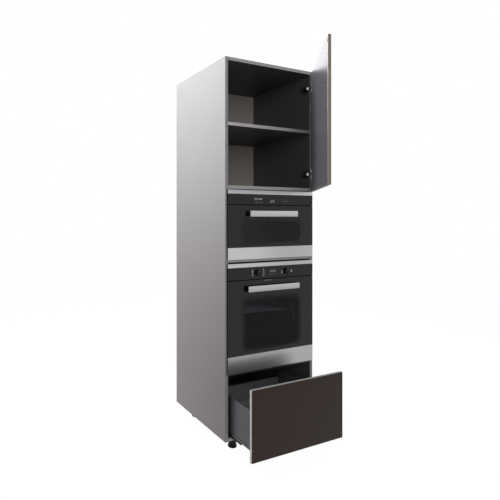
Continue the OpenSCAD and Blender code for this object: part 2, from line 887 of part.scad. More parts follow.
// The ears on the casing's floor, each with the stub pins on which the door turns
module drop_hinges() {
    low = deck_lap + casing_wall;
    arm_top = low + 2;
    both_sides() {
        difference() {
            translate([ear_x, 0, 0]) run_across(ear_t) {
                translate([drop_y, drop_z]) circle(ear_r, $fn = 48);
                translate([drop_y, low]) square([22 - drop_y, arm_top - low]);
            }
        }
        translate([ear_x - 9, 2, low]) cube([18, 20, 2]);
        translate([ear_x - ear_t / 2 - ear_stub, drop_y, drop_z])
            rotate([0, 90, 0]) cylinder(h = ear_t + 2 * ear_stub, r = drop_pin_r, $fn = 32);
    }
}

// A flat bar with a crowned front and round edges
module handle_bar(l) {
    r = 2.5;
    crown = 110;
    front = face_y - handle_reach;
    run_across(l) intersection() {
        union() {
            translate([front, r]) square([handle_t, handle_h - 2 * r]);
            translate([front + r, 0]) square([handle_t - 2 * r, handle_h]);
            for (y = [front + r, front + handle_t - r], z = [r, handle_h - r])
                translate([y, z]) circle(r, $fn = 32);
        }
        translate([front + crown, handle_h / 2]) circle(crown, $fn = 256);
    }
}

// The end blocks that hold the bar off the glass and cap its ends
module handle_ends(l) {
    cap = 3;
    front = face_y - handle_reach;
    both_sides() {
        translate([l / 2 - handle_end_w, front + handle_t, 1])
            cube([handle_end_w + eps, handle_reach - handle_t, handle_h - 2]);
        translate([l / 2, front + 1, 1]) cube([cap, handle_reach - 1, handle_h - 2]);
    }
}

// ---- Oven ----

module oven_casing() {
    color("#9c9ea0") in_oven() difference() {
        casing(oven_h, oven_door_h);
        for (side = [-1, 1]) knob_axis(side)
            translate([0, 0, -shaft_l]) cylinder(h = 2 * shaft_l, r = shaft_r + fit, $fn = 48);
    }
}

module oven_chamber() {
    color("#2b2d33") in_oven()
        chamber(oven_chamber_w, oven_chamber_h, oven_chamber_d, oven_chamber_z, oven_door_h);
}

module oven_top_strip() {
    color("#c3c4c6") in_oven()
        translate([0, 0, oven_h - top_strip_h]) steel_strip(top_strip_h, strip_wall);
}

// The frame of a knob: Z points out of the panel, and Z = 0 is the panel's face
module knob_axis(side) {
    translate([side * knob_x, face_y, oven_door_h + knob_z]) rotate([90, 0, 0]) children();
}

module oven_control_panel() {
    color("#151516") in_oven() difference() {
        glass_sheet(oven_door_h + swing_gap, oven_panel_h - swing_gap);
        for (side = [-1, 1]) knob_axis(side)
            translate([0, 0, -glass_t - eps]) cylinder(h = glass_t + 2 * eps, r = shaft_r + fit, $fn = 48);
    }
}

// A turned knob with a skirt, a waist and a flat top with a pointer groove
module knob() {
    r = knob_r;
    difference() {
        rotate_extrude($fn = 96) {
            square([r, 3]);
            square([r - 2, knob_l - 2]);
            square([r - 4, knob_l]);
            translate([r - 4, knob_l - 2]) circle(2, $fn = 32);
        }
        translate([-0.7, r * 0.35, knob_l - 0.8]) cube([1.4, r, 2]);
    }
    translate([0, 0, -shaft_l]) cylinder(h = shaft_l, r = shaft_r, $fn = 48);
}

module oven_knob_left() {
    color("#1a1a1b") in_oven() knob_axis(-1) translate([0, 0, 0.5]) knob();
}

module oven_knob_right() {
    color("#1a1a1b") in_oven() knob_axis(1) translate([0, 0, 0.5]) knob();
}

module oven_door_frame() {
    color("#1b1b1d") in_oven() door_frame(oven_door_h, window_w, oven_window_z, oven_window_h);
}

module oven_door_glass() {
    color("#0f0f10") in_oven() glass_sheet(oven_base_h + 0.5, oven_door_h - oven_base_h - 0.5);
}

module oven_inner_glass() {
    color("#4a4e52") in_oven() inner_glass(window_w, oven_window_z, oven_window_h);
}

module oven_base_strip() {
    color("#b6b7b9") in_oven() door_strip(oven_base_h);
}

// The steel strip of a swinging door, cut away behind the skin where the hinge blocks sit
module door_strip(h) {
    difference() {
        steel_strip(h, glass_t / 2);
        both_sides() translate([ear_x - block_w / 2 - 0.5, face_y + 1.3, -eps])
            cube([block_w + 1, glass_t, 2 * drop_z + eps]);
    }
}

module oven_handle() {
    color("#c9cacc") in_oven() translate([0, 0, oven_handle_z]) handle_bar(oven_handle_l);
}

module oven_handle_ends() {
    color("#1a1a1b") in_oven() translate([0, 0, oven_handle_z]) handle_ends(oven_handle_l);
}

module oven_hinges() {
    color("#9a9c9e") in_oven() drop_hinges();
}

// Guides on both side walls, a wire ladder each
guide_y = chamber_y + 20;
guide_l = oven_chamber_d - 40;
upright_x = oven_chamber_w / 2 - wire_r - 0.3;
guide_x = upright_x - wire_r - 1.5;
top_level = floor((oven_chamber_h - level_low - level_clear) / level_pitch);
tray_half = upright_x - wire_r - 0.5;

module side_racks() {
    foot_z = level_low / 2;
    upright_h = level_low + top_level * level_pitch - foot_z + 3 * wire_r;
    color("#c5c6c8") in_oven() both_sides() {
        for (y = [guide_y + guide_l * 0.08, guide_y + guide_l * 0.92])
            translate([upright_x, y, oven_chamber_z + foot_z]) cylinder(h = upright_h, r = wire_r, $fn = 24);
        for (i = [0:top_level])
            translate([guide_x, guide_y, oven_chamber_z + level_low + i * level_pitch - wire_r])
                rotate([-90, 0, 0]) cylinder(h = guide_l, r = wire_r, $fn = 24);
    }
}

module wire_rack() {
    level = oven_chamber_z + level_low + (top_level - 1) * level_pitch;
    half = tray_half - wire_r;
    n = 21;
    l = guide_l - 10;
    step = (l - 2 * wire_r) / (n + 1);
    color("#cfd0d2") in_oven() translate([0, guide_y + 5, level + wire_r]) {
        for (side = [-1, 1]) translate([side * half, 0, 0])
            rotate([-90, 0, 0]) cylinder(h = l, r = wire_r, $fn = 24);
        for (y = [wire_r, l - wire_r]) translate([-half, y, 0])
            rotate([0, 90, 0]) cylinder(h = 2 * half, r = wire_r, $fn = 24);
        for (i = [1:n]) translate([-half, wire_r + i * step, 0])
            rotate([0, 90, 0]) cylinder(h = 2 * half, r = cross_wire_r, $fn = 24);
    }
}

module baking_tray() {
    level = oven_chamber_z + level_low + level_pitch;
    w = 2 * tray_half;
    l = guide_l - 10;
    wall = 1.2;
    rim = 12;
    pan_w = w - 2 * rim - 2;
    color("#26282d") in_oven() translate([0, guide_y + 5, level]) difference() {
        union() {
            linear_extrude(wall) round_rect(w, l, 8);
            translate([0, rim, wall - tray_h]) linear_extrude(tray_h) round_rect(pan_w, l - 2 * rim, rim);
        }
        translate([0, rim + wall, 2 * wall - tray_h])
            linear_extrude(tray_h) round_rect(pan_w - 2 * wall, l - 2 * rim - 2 * wall, rim - wall);
    }
}

// The plate over the fan, with a ring of outlet slots round a field of inlet holes
module fan_cover() {
    r = 95;
    n = 12;
    t = 2;
    centre_z = oven_chamber_z + oven_chamber_h / 2;
    color("#3a3c42") in_oven()
        translate([0, chamber_y + oven_chamber_d, centre_z]) rotate([90, 0, 0]) difference() {
            union() {
                cylinder(h = t, r = r + 25, $fn = 96);
                cylinder(h = 10, r = r, $fn = 96);
            }
            translate([0, 0, -eps]) cylinder(h = 10 - t + eps, r = r - t, $fn = 96);
            for (i = [0:n - 1]) rotate([0, 0, i * 360 / n]) {
                translate([r * 0.62, -3, 0]) cube([24, 6, 20]);
                translate([r * 0.38, 0, 0]) cylinder(h = 20, r = 4, $fn = 24);
            }
        }
}

// ---- Compact oven ----

module compact_casing() {
    color("#9c9ea0") in_compact() casing(compact_h, compact_door_h);
}

module compact_chamber() {
    color("#8d8f92") in_compact()
        chamber(compact_chamber_w, compact_chamber_h, compact_chamber_d, compact_chamber_z, compact_door_h);
}

module compact_top_strip() {
    color("#c3c4c6") in_compact()
        translate([0, 0, compact_h - top_strip_h]) steel_strip(top_strip_h, strip_wall);
}

module compact_control_panel() {
    color("#151516") in_compact() glass_sheet(compact_door_h + swing_gap, compact_panel_h - swing_gap);
}

module compact_door_frame() {
    color("#1b1b1d") in_compact() door_frame(compact_door_h, window_w, compact_window_z, compact_window_h);
}

module compact_door_glass() {
    color("#0f0f10") in_compact() glass_sheet(compact_base_h + 0.5, compact_door_h - compact_base_h - 0.5);
}

module compact_inner_glass() {
    color("#4a4e52") in_compact() inner_glass(window_w, compact_window_z, compact_window_h);
}

module compact_base_strip() {
    color("#b6b7b9") in_compact() door_strip(compact_base_h);
}

module compact_handle() {
    color("#c9cacc") in_compact() translate([0, 0, compact_handle_z]) handle_bar(compact_handle_l);
}

module compact_handle_ends() {
    color("#1a1a1b") in_compact() translate([0, 0, compact_handle_z]) handle_ends(compact_handle_l);
}

module compact_hinges() {
    color("#9a9c9e") in_compact() drop_hinges();
}

left_gable();
right_gable();
top_panel();
bottom_panel();
oven_deck();
compact_deck();
cupboard_floor();
upper_back_panel();
lower_back_panel();
rear_rails();
adjustable_shelf();
shelf_pins();
cam_fittings();
foot_front_left();
foot_front_right();
foot_rear_left();
foot_rear_right();
foot_sockets();
door_panel();
hinge_cups();
hinge_arms();
hinge_plates();
door_bumpers();
drawer_front();
drawer_side_left();
drawer_side_right();
drawer_bottom();
drawer_back();
front_brackets();
cabinet_runners();
middle_runners();
drawer_rails();
oven_casing();
oven_chamber();
oven_top_strip();
oven_control_panel();
oven_knob_left();
oven_knob_right();
oven_door_frame();
oven_door_glass();
oven_inner_glass();
oven_base_strip();
oven_handle();
oven_handle_ends();
oven_hinges();
side_racks();
wire_rack();
baking_tray();
fan_cover();
compact_casing();
compact_chamber();
compact_top_strip();
compact_control_panel();
compact_door_frame();
compact_door_glass();
compact_inner_glass();
compact_base_strip();
compact_handle();
compact_handle_ends();
compact_hinges();
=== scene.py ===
import math

import bmesh
import bpy
from mathutils import Matrix, Vector


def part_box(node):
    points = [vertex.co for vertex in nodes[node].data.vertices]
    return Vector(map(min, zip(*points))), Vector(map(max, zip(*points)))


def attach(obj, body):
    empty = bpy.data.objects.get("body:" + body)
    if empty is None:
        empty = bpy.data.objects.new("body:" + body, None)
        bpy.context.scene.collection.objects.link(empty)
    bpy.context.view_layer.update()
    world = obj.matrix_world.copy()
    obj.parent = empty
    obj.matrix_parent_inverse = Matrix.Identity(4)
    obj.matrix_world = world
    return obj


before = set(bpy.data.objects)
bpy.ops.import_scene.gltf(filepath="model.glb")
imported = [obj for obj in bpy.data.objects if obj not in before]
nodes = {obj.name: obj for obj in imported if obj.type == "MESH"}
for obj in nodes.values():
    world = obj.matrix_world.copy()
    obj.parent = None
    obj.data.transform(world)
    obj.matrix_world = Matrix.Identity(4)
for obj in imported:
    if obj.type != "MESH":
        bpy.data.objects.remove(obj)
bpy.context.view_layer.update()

scene = bpy.context.scene

# ---------------------------------------------------------------- sizes and places, in metres
# X runs to the right, Y to the rear and Z up from the floor.

LEFT, RIGHT = (-1, 0, 0), (1, 0, 0)
FRONT, REAR = (0, -1, 0), (0, 1, 0)
DOWN, UP = (0, 0, -1), (0, 0, 1)

FOOT_H = 0.075             # the carcass's underside
CARCASS_H = 2.080
CARCASS_D = 0.590
HALF_W = 0.307             # the gables' outer faces
FRONT_Y = -0.2875          # the gables' front edges
REAR_Y = FRONT_Y + CARCASS_D
SHELF_HALF_W = 0.288
SHELF_SETBACK = 0.002      # the shelf's front edge behind the gables' edges
FRONT_HALF_W = 0.304       # the outer edges of the door and the drawer front

OVEN_Z = FOOT_H + 0.363    # lower edge of the oven's front
COMPACT_Z = FOOT_H + 0.980
FACE_Y = FRONT_Y - 0.012   # the appliances' outer faces
KNOB_X = 0.100
KNOB_Z = OVEN_Z + 0.541
CHAMBER_MOUTH_Y = FRONT_Y + 0.0254
CHAMBER_R = 0.0140         # the corners of a chamber's mouth
CHAMBERS = {               # width, floor, ceiling, rear wall, height of the lamp, its radius
    "oven": (0.462, OVEN_Z + 0.085, OVEN_Z + 0.435, FRONT_Y + 0.4454, OVEN_Z + 0.385, 0.024),
    "compact": (0.450, COMPACT_Z + 0.060, COMPACT_Z + 0.263, FRONT_Y + 0.4254, COMPACT_Z + 0.215, 0.019),
}
CASINGS = {                # lower and upper edge
    "oven": (FOOT_H + 0.368, FOOT_H + 0.867),
    "compact": (FOOT_H + 0.985, FOOT_H + 1.267),
}

# the door stands open, so its own directions are turned by the opening angle
DOOR_ANGLE = math.radians(54)
HINGE = Vector((0.2958578, FRONT_Y - 0.0135, FOOT_H))
HINGE_TO_EDGE = FRONT_HALF_W - 0.2958578
HINGE_TO_INNER_FACE = 0.0105
CUP_X = FRONT_HALF_W - 0.0215    # the hinge cups' middle, with the door shut
door_across = Vector((-math.cos(DOOR_ANGLE), -math.sin(DOOR_ANGLE), 0))
door_inward = Vector((-math.sin(DOOR_ANGLE), math.cos(DOOR_ANGLE), 0))

lo_door, hi_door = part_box("door_panel")
lo_drawer, hi_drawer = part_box("drawer_front")


# ---------------------------------------------------------------- camera

def aimed(name, data, place, direction):
    """The camera or a lamp as an object that looks along a direction."""
    made = bpy.data.objects.new(name, data)
    made.location = place
    made.rotation_mode = "QUATERNION"
    made.rotation_quaternion = direction.to_track_quat("-Z", "Y")
    scene.collection.objects.link(made)
    return made


camera = bpy.data.cameras.new("camera")
camera.lens = 31.76
camera.sensor_width = 36
camera.shift_x = 0.1534
camera.shift_y = -0.0664
camera.clip_start = 0.05
camera.clip_end = 60
camera_object = aimed("camera", camera, (-1.5939, -2.2989, 1.2898), Vector((0.4368, 0.8996, 0)))
bpy.context.scene.camera = camera_object


# ---------------------------------------------------------------- material helpers

class Graph:
    """A node tree under construction, with short calls for what the materials and the world share."""

    def __init__(self, tree, output):
        self.tree = tree
        self.surface = tree.nodes[output].inputs["Surface"]

    def node(self, kind, **settings):
        made = self.tree.nodes.new(kind)
        for key, value in settings.items():
            setattr(made, key, value)
        return made

    def link(self, source, target):
        self.tree.links.new(source, target)

    def put(self, socket, value):
        """Links a socket to another one, or sets its value; a colour may be given without alpha."""
        if isinstance(value, bpy.types.NodeSocket):
            self.link(value, socket)
        elif hasattr(value, "__len__") and len(socket.default_value) == len(value) + 1:
            socket.default_value = (*value, 1)
        else:
            socket.default_value = value

    def math(self, operation, a, b=0.0, c=0.0):
        made = self.node("ShaderNodeMath", operation=operation)
        for socket, value in zip(made.inputs, (a, b, c)):
            self.put(socket, value)
        return made.outputs[0]

    def output_mix(self, share, below, above):
        """Shows one shader, and by share the other over it."""
        shown = self.node("ShaderNodeMixShader")
        self.put(shown.inputs["Fac"], share)
        self.link(below, shown.inputs[1])
        self.link(above, shown.inputs[2])
        self.link(shown.outputs["Shader"], self.surface)

    def looking_rays(self):
        """1 for the rays by which the camera, metal and glass see the surroundings."""
        path = self.node("ShaderNodeLightPath")
        seen = self.math("MAXIMUM", path.outputs["Is Camera Ray"], path.outputs["Is Transmission Ray"])
        return self.math("MAXIMUM", seen, path.outputs["Is Glossy Ray"])


class Shader(Graph):
    """A material under construction. Its places are those of the scene at rest, in metres."""

    def __init__(self, name):
        self.material = bpy.data.materials.new(name)
        self.material.use_nodes = True
        super().__init__(self.material.node_tree, "Material Output")
        self.bsdf = self.tree.nodes["Principled BSDF"]
        self.place = self.node("ShaderNodeTexCoord").outputs["Object"]

    def set(self, **sockets):
        for name, value in sockets.items():
            self.put(self.bsdf.inputs[name.replace("_", " ")], value)

    def noise(self, scale, stretch=(1, 1, 1), detail=3.0, roughness=0.55):
        """Noise; stretch is small along the direction in which it is drawn out."""
        mapping = self.node("ShaderNodeMapping")
        mapping.inputs["Scale"].default_value = stretch
        self.link(self.place, mapping.inputs["Vector"])
        made = self.node("ShaderNodeTexNoise")
        made.inputs["Scale"].default_value = scale
        made.inputs["Detail"].default_value = detail
        made.inputs["Roughness"].default_value = roughness
        self.link(mapping.outputs["Vector"], made.inputs["Vector"])
        return made.outputs["Fac"]

    def spots(self, scale, size):
        """1 at scattered round specks of the given share of a cell, else 0."""
        made = self.node("ShaderNodeTexVoronoi")
        made.inputs["Scale"].default_value = scale
        self.link(self.place, made.inputs["Vector"])
        return self.math("LESS_THAN", made.outputs["Distance"], size)

    def along(self, direction):
        """The surface point's place along a direction."""
        dot = self.node("ShaderNodeVectorMath", operation="DOT_PRODUCT")
        self.link(self.place, dot.inputs[0])
        dot.inputs[1].default_value = direction
        return dot.outputs["Value"]

    def past(self, direction, place):
        """1 past a place along a direction, else 0."""
        return self.math("GREATER_THAN", self.along(direction), place)

    def span(self, value, start, end):
        """0 at start, 1 at end, straight between them."""
        made = self.node("ShaderNodeMapRange")
        made.inputs["From Min"].default_value = start
        made.inputs["From Max"].default_value = end
        self.link(value, made.inputs["Value"])
        return made.outputs["Result"]

    def within(self, value, start, end):
        """1 between start and end, else 0."""
        above = self.math("GREATER_THAN", value, start)
        return self.math("MULTIPLY", above, self.math("LESS_THAN", value, end))

    def window(self, value, start, end, soft):
        """1 between start and end, falling to 0 over the soft border inside them."""
        rising, falling = self.span(value, start, start + soft), self.span(value, end, end - soft)
        return self.math("MULTIPLY", rising, falling)

    def ramp(self, value, stops):
        """A grey tone that runs through (place, tone) stops; its curve holds half the tone."""
        low, high = stops[0][0], stops[-1][0]
        made = self.node("ShaderNodeFloatCurve")
        curve = made.mapping.curves[0]
        curve.points[0].location = (0.0, stops[0][1] / 2)
        curve.points[1].location = (1.0, stops[-1][1] / 2)
        for place, tone in stops[1:-1]:
            curve.points.new((place - low) / (high - low), tone / 2)
        made.mapping.update()
        self.link(self.span(value, low, high), made.inputs["Value"])
        return self.math("MULTIPLY", made.outputs["Value"], 2.0)

    def blend(self, factor, a, b, kind="FLOAT"):
        made = self.node("ShaderNodeMix", data_type=kind)
        self.put(made.inputs["Factor"], factor)
        self.put(made.inputs["A"], a)
        self.put(made.inputs["B"], b)
        return made.outputs["Result"]

    def mix(self, factor, a, b):
        return self.blend(factor, a, b, "RGBA")

    def tinted(self, color, factor, amount):
        """The colour, darker and lighter by amount as factor goes from 0 to 1."""
        low = [c * (1 - amount) for c in color]
        high = [min(1, c * (1 + amount)) for c in color]
        return self.mix(factor, low, high)

    def bump(self, height, distance):
        made = self.node("ShaderNodeBump")
        made.inputs["Distance"].default_value = distance
        made.inputs["Strength"].default_value = 1.0
        self.link(height, made.inputs["Height"])
        self.link(made.outputs["Normal"], self.bsdf.inputs["Normal"])

    def see_through(self, share, tint):
        """Lets the light through, in a tint, by the given share."""
        clear = self.node("ShaderNodeBsdfTransparent")
        self.put(clear.inputs["Color"], tint)
        self.output_mix(share, self.bsdf.outputs["BSDF"], clear.outputs["BSDF"])


def satin_surface(s, roughness, grain=420.0, depth=0.00004, swing=0.12):
    """Roughness and fine relief of laminate, powder coat and moulded plastic."""
    fine = s.noise(grain, detail=2)
    s.set(Roughness=s.math("MULTIPLY_ADD", fine, swing, roughness - swing / 2))
    s.bump(fine, depth)


def brushed_surface(s, stretch, roughness, swing=0.14):
    """Roughness and relief of steel with fine parallel brush lines, which it returns."""
    lines = s.noise(900, stretch, detail=4, roughness=0.7)
    s.set(Roughness=s.math("MULTIPLY_ADD", lines, swing, roughness - swing / 2))
    s.bump(lines, 0.00002)
    return lines


def gloss_surface(s, roughness, swing=0.03):
    """Roughness and faint orange peel of lacquer, enamel and glass; returns its slow variation."""
    cloud = s.noise(2.2)
    s.set(Roughness=s.math("MULTIPLY_ADD", cloud, swing, roughness - swing / 2))
    s.bump(s.noise(140, detail=1), 0.000006)
    return cloud


def satin(name, color, roughness=0.4, variation=0.05, grain=420.0, depth=0.00004, specular=0.5):
    """Fine-textured plain laminate, powder coat or moulded plastic."""
    s = Shader(name)
    s.set(Base_Color=s.tinted(color, s.noise(3.5), variation), Specular_IOR_Level=specular)
    satin_surface(s, roughness, grain, depth)
    return s


def brushed(name, color, stretch, roughness, variation=0.06):
    """Steel in one colour, with brush lines."""
    s = Shader(name)
    lines = brushed_surface(s, stretch, roughness)
    tone = s.math("MULTIPLY_ADD", s.noise(6), 0.35, s.math("MULTIPLY", lines, 0.65))
    s.set(Base_Color=s.tinted(color, tone, variation), Metallic=1.0)
    return s


def gloss(name, color, roughness, specular=0.33):
    """Polished glass in one colour."""
    s = Shader(name)
    cloud = gloss_surface(s, roughness)
    s.set(Base_Color=s.tinted(color, cloud, 0.06), Specular_IOR_Level=specular)
    return s


def paint(shader, *names):
    """Gives CAD nodes a finish."""
    for name in names:
        slots = nodes[name].data.materials
        slots.clear()
        slots.append(shader.material)


# ---------------------------------------------------------------- the carcass's boards

GREY = (0.260, 0.259, 0.262)              # the outside of the boards, at the rear
GREY_SHADED_FRONT = (0.243, 0.242, 0.245)        # painted shade: the same board, darker towards its front edge
GREY_SHADED_LOW_REAR = (0.262, 0.234, 0.242)     # and with painted shade towards the floor, where it is also warmer
GREY_SHADED_LOW_FRONT = (0.182, 0.160, 0.167)
SHADE_LOW_Z, SHADE_HIGH_Z = 0.35, 1.6                 # the painted shade near the floor fades out between these heights
EDGE = (0.255, 0.255, 0.255)
TOP_EDGE = (0.33, 0.33, 0.33)
LIGHT_EDGE = (0.36, 0.36, 0.36)
# painted shade: the near black of the oven deck's front edge
DECK_EDGE_PAINTED_SHADE = (0.012, 0.012, 0.013)
# the shelf's front edge, and the same edge with the painted shade of the open door at its right end
SHELF_EDGE, SHELF_EDGE_SHADED_RIGHT = (0.50, 0.49, 0.49), (0.21, 0.21, 0.212)
# painted highlight: the light grey of the shelf's right end face
SHELF_END_HIGHLIGHT = (0.45, 0.45, 0.45)
ANTHRACITE = (0.070, 0.066, 0.067)
# painted shade: the near black of the deck under the oven
DECK_PAINTED_SHADE = (0.02, 0.02, 0.021)
BACK_GREY = (0.315, 0.286, 0.264)
# painted shade: the near black of the lower back panel, behind the drawer
BACK_PAINTED_SHADE = (0.012, 0.012, 0.012)
SKIN = 0.0004                             # a face's colour reaches this far into the board
FACE_VARIATION = 0.035


def outer_grey_painted_shade(s, cloud):
    """The outside of the boards, with painted shade: lighter at the rear than at the front, and warmer and
    darker towards the floor.
    """
    forward = s.span(s.along(REAR), REAR_Y, FRONT_Y)
    colors = (GREY, GREY_SHADED_FRONT, GREY_SHADED_LOW_REAR, GREY_SHADED_LOW_FRONT)
    rear, front, low_rear, low_front = [s.tinted(color, cloud, FACE_VARIATION) for color in colors]
    rise = s.span(s.along(UP), SHADE_LOW_Z, SHADE_HIGH_Z)
    return s.mix(rise, s.mix(forward, low_rear, low_front), s.mix(forward, rear, front))


def shelf_band(s, cloud):
    """The shelf's front edge, darker towards the right: painted shade of the open door."""
    rightward = s.span(s.along(RIGHT), -0.28, 0.28)
    return s.mix(rightward, s.tinted(SHELF_EDGE, cloud, FACE_VARIATION), SHELF_EDGE_SHADED_RIGHT)


def board_finish(name, inner, faces):
    """Laminate board in its inner colour, but for the faces past the (direction, place, colour) given."""
    s = Shader(name)
    cloud = s.noise(3.0)
    color = s.tinted(inner, cloud, 0.06)
    for direction, place, face_color in faces:
        face = face_color(s, cloud) if callable(face_color) else s.tinted(face_color, cloud, FACE_VARIATION)
        color = s.mix(s.past(direction, place), color, face)
    s.set(Base_Color=color, Specular_IOR_Level=0.28)
    satin_surface(s, roughness=0.43, grain=380, depth=0.00003, swing=0.1)
    return s


def front_edge(color, setback=0.0):
    """The front edge of a board, for board_finish()."""
    return FRONT, -FRONT_Y - setback - SKIN, color


rear_edge = (REAR, REAR_Y - SKIN, outer_grey_painted_shade)
top_face = (UP, FOOT_H + CARCASS_H - SKIN, outer_grey_painted_shade)
bottom_face = (DOWN, -FOOT_H - SKIN, outer_grey_painted_shade)
# the shelf's right end, in a painted highlight
shelf_end_highlight = (RIGHT, SHELF_HALF_W - SKIN, SHELF_END_HIGHLIGHT)
for side, direction in (("left", LEFT), ("right", RIGHT)):
    gable_faces = [rear_edge, front_edge(EDGE), (direction, HALF_W - SKIN, outer_grey_painted_shade)]
    paint(board_finish("gable_" + side + "_laminate", ANTHRACITE, gable_faces), side + "_gable")
paint(board_finish("top_laminate", ANTHRACITE, [top_face, front_edge(TOP_EDGE)]), "top_panel")
paint(board_finish("bottom_laminate", ANTHRACITE, [bottom_face, front_edge(LIGHT_EDGE)]), "bottom_panel")
paint(board_finish("deck_laminate", ANTHRACITE, [front_edge(LIGHT_EDGE)]), "compact_deck", "cupboard_floor")
# The deck under the oven and its front edge are painted near black, as the shade of the niche under the
# oven.
paint(board_finish("oven_deck_painted_shade", DECK_PAINTED_SHADE, [front_edge(DECK_EDGE_PAINTED_SHADE)]), "oven_deck")
paint(
    board_finish("shelf_laminate", ANTHRACITE, [shelf_end_highlight, front_edge(shelf_band, SHELF_SETBACK)]),
    "adjustable_shelf",
)
paint(satin("rail_laminate", GREY, roughness=0.42), "rear_rails")
paint(satin("back_laminate", BACK_GREY, roughness=0.45, variation=0.08), "upper_back_panel")
# the lower back panel in near black, as painted shade
paint(satin("back_laminate_painted_shade", BACK_PAINTED_SHADE, roughness=0.5, variation=0.08), "lower_back_panel")


# ---------------------------------------------------------------- feet and fittings

ALONG_X, ALONG_Y, ALONG_Z = (0.3, 1, 1), (1, 0.05, 1), (1, 1, 0.2)   # how metals are brushed
LONG_BRUSH = (0.02, 1, 1)
HINGE_NICKEL = (0.42, 0.42, 0.43)
HINGE_CAP = (0.05, 0.05, 0.052)
HINGE_CAP_Y = FRONT_Y + 0.020    # the black cap lies behind this


def hinge_finish():
    """Bright nickel, with the black cap over the rear part of the arm."""
    s = Shader("hinge_nickel")
    brushed_surface(s, ALONG_X, roughness=0.30)
    nickel = s.tinted(HINGE_NICKEL, s.noise(800, ALONG_X, detail=3), 0.08)
    s.set(Base_Color=s.mix(s.past(REAR, HINGE_CAP_Y), nickel, HINGE_CAP), Metallic=1.0)
    return s


feet = ["foot_" + end + "_" + side for end in ("front", "rear") for side in ("left", "right")]
paint(
    satin("foot_plastic", (0.006, 0.006, 0.006), roughness=0.45, variation=0.1, specular=0.15),
    *feet, "foot_sockets",
)
paint(
    brushed("fitting_nickel", (0.58, 0.58, 0.57), ALONG_X, roughness=0.3),
    "cam_fittings", "oven_hinges", "compact_hinges",
)
paint(
    brushed("hinge_black_nickel", (0.11, 0.11, 0.115), ALONG_X, roughness=0.32),
    "hinge_plates", "shelf_pins",
)
paint(satin("bumper_plastic", (0.05, 0.05, 0.052), roughness=0.3), "door_bumpers")
paint(hinge_finish(), "hinge_cups", "hinge_arms")


# ---------------------------------------------------------------- door and drawer

BROWN = (0.0315, 0.0177, 0.0128)
TAUPE = (0.135, 0.103, 0.088)
SILVER = (0.50, 0.492, 0.484)
# painted shade: the drawer front's upper edge band, a darker copy of its other edges
DRAWER_TOP_EDGE_SHADE = (0.20, 0.197, 0.194)
INNER_GREY = (0.167, 0.171, 0.190)
BAND = 0.0003              # the edge band's colour reaches this far in
INNER_SKIN = 0.0006
GLOSS, INNER_GLOSS, BAND_GLOSS = 0.05, 0.36, 0.6    # roughness of face, inner face and edge band
INNER_METAL = 0.6          # how metallic the inner face looks
CORE_START, CORE_END = 0.0135, 0.0035               # the band's plain middle, from the inner face
RIM_HIGHLIGHT_GAIN = 2.2             # painted highlight: how much lighter the band is beside that


def front_finish(name, edge_color, sides, inner, core=None, top_edge_shade=None, specular=0.30):
    """High-gloss front with a satin inner face and an edge band in another colour.

    The band shows past each (direction, place) of sides, and the inner face past that of inner. core is
    the (direction, start, end) in which the band is plain, with a painted highlight beside it, and
    top_edge_shade its colour on the upper edge, a painted shade.
    """
    s = Shader(name)
    cloud = s.noise(1.6, (1, 1, 0.12), detail=2)
    edge = s.tinted(edge_color, s.noise(700, (1, 1, 0.02), detail=2), 0.05)
    if core is not None:
        direction, start, end = core
        # painted highlight: the band is lighter beside its plain middle
        edge = s.mix(s.within(s.along(direction), start, end), [c * RIM_HIGHLIGHT_GAIN for c in edge_color], edge)
    # painted shade on the upper edge band
    if top_edge_shade is not None:
        edge = s.mix(s.past(UP, hi_drawer.z - BAND), edge, top_edge_shade)
    is_edge = s.past(*sides[0])
    for side in sides[1:]:
        is_edge = s.math("MAXIMUM", is_edge, s.past(*side))
    is_inner = s.past(*inner)
    face = s.mix(is_inner, s.tinted(BROWN, cloud, 0.12), s.tinted(INNER_GREY, cloud, 0.05))
    metal = s.math("MULTIPLY", is_inner, INNER_METAL)
    s.set(
        Base_Color=s.mix(is_edge, face, edge),
        Metallic=s.math("MULTIPLY", metal, s.math("SUBTRACT", 1.0, is_edge)),
        Roughness=s.blend(is_edge, s.blend(is_inner, GLOSS, INNER_GLOSS), BAND_GLOSS),
        Specular_IOR_Level=specular,
    )
    s.bump(s.noise(120, detail=1), 0.000005)
    return s


def upper_and_lower(low, high):
    """The upper and lower edge of a front with these corners."""
    return [(UP, high.z - BAND), (DOWN, -low.z - BAND)]


drawer_sides = [
    (LEFT, FRONT_HALF_W - BAND),
    (RIGHT, FRONT_HALF_W - BAND),
] + upper_and_lower(lo_drawer, hi_drawer)
drawer_inner = (REAR, hi_drawer.y - INNER_SKIN)
paint(
    front_finish(
        "drawer_front_gloss", SILVER, drawer_sides, drawer_inner, top_edge_shade=DRAWER_TOP_EDGE_SHADE, specular=0.17
    ),
    "drawer_front",
)

hinge_across, inner_face = door_across.dot(HINGE), door_inward.dot(HINGE) + HINGE_TO_INNER_FACE
door_sides = [
    (door_across, hinge_across + 2 * FRONT_HALF_W - HINGE_TO_EDGE - BAND),
    (-door_across, -(hinge_across - HINGE_TO_EDGE) - BAND),
] + upper_and_lower(lo_door, hi_door)
door_core = (door_inward, inner_face - CORE_START, inner_face - CORE_END)
paint(
    front_finish("door_gloss", TAUPE, door_sides, (door_inward, inner_face - INNER_SKIN), core=door_core),
    "door_panel",
)

# the drawer's powder coat, and a lighter copy of it that paints light into the shaded drawer
DRAWER_COAT, DRAWER_COAT_PAINTED_LIGHT = (0.031, 0.0325, 0.0385), (0.06, 0.061, 0.064)


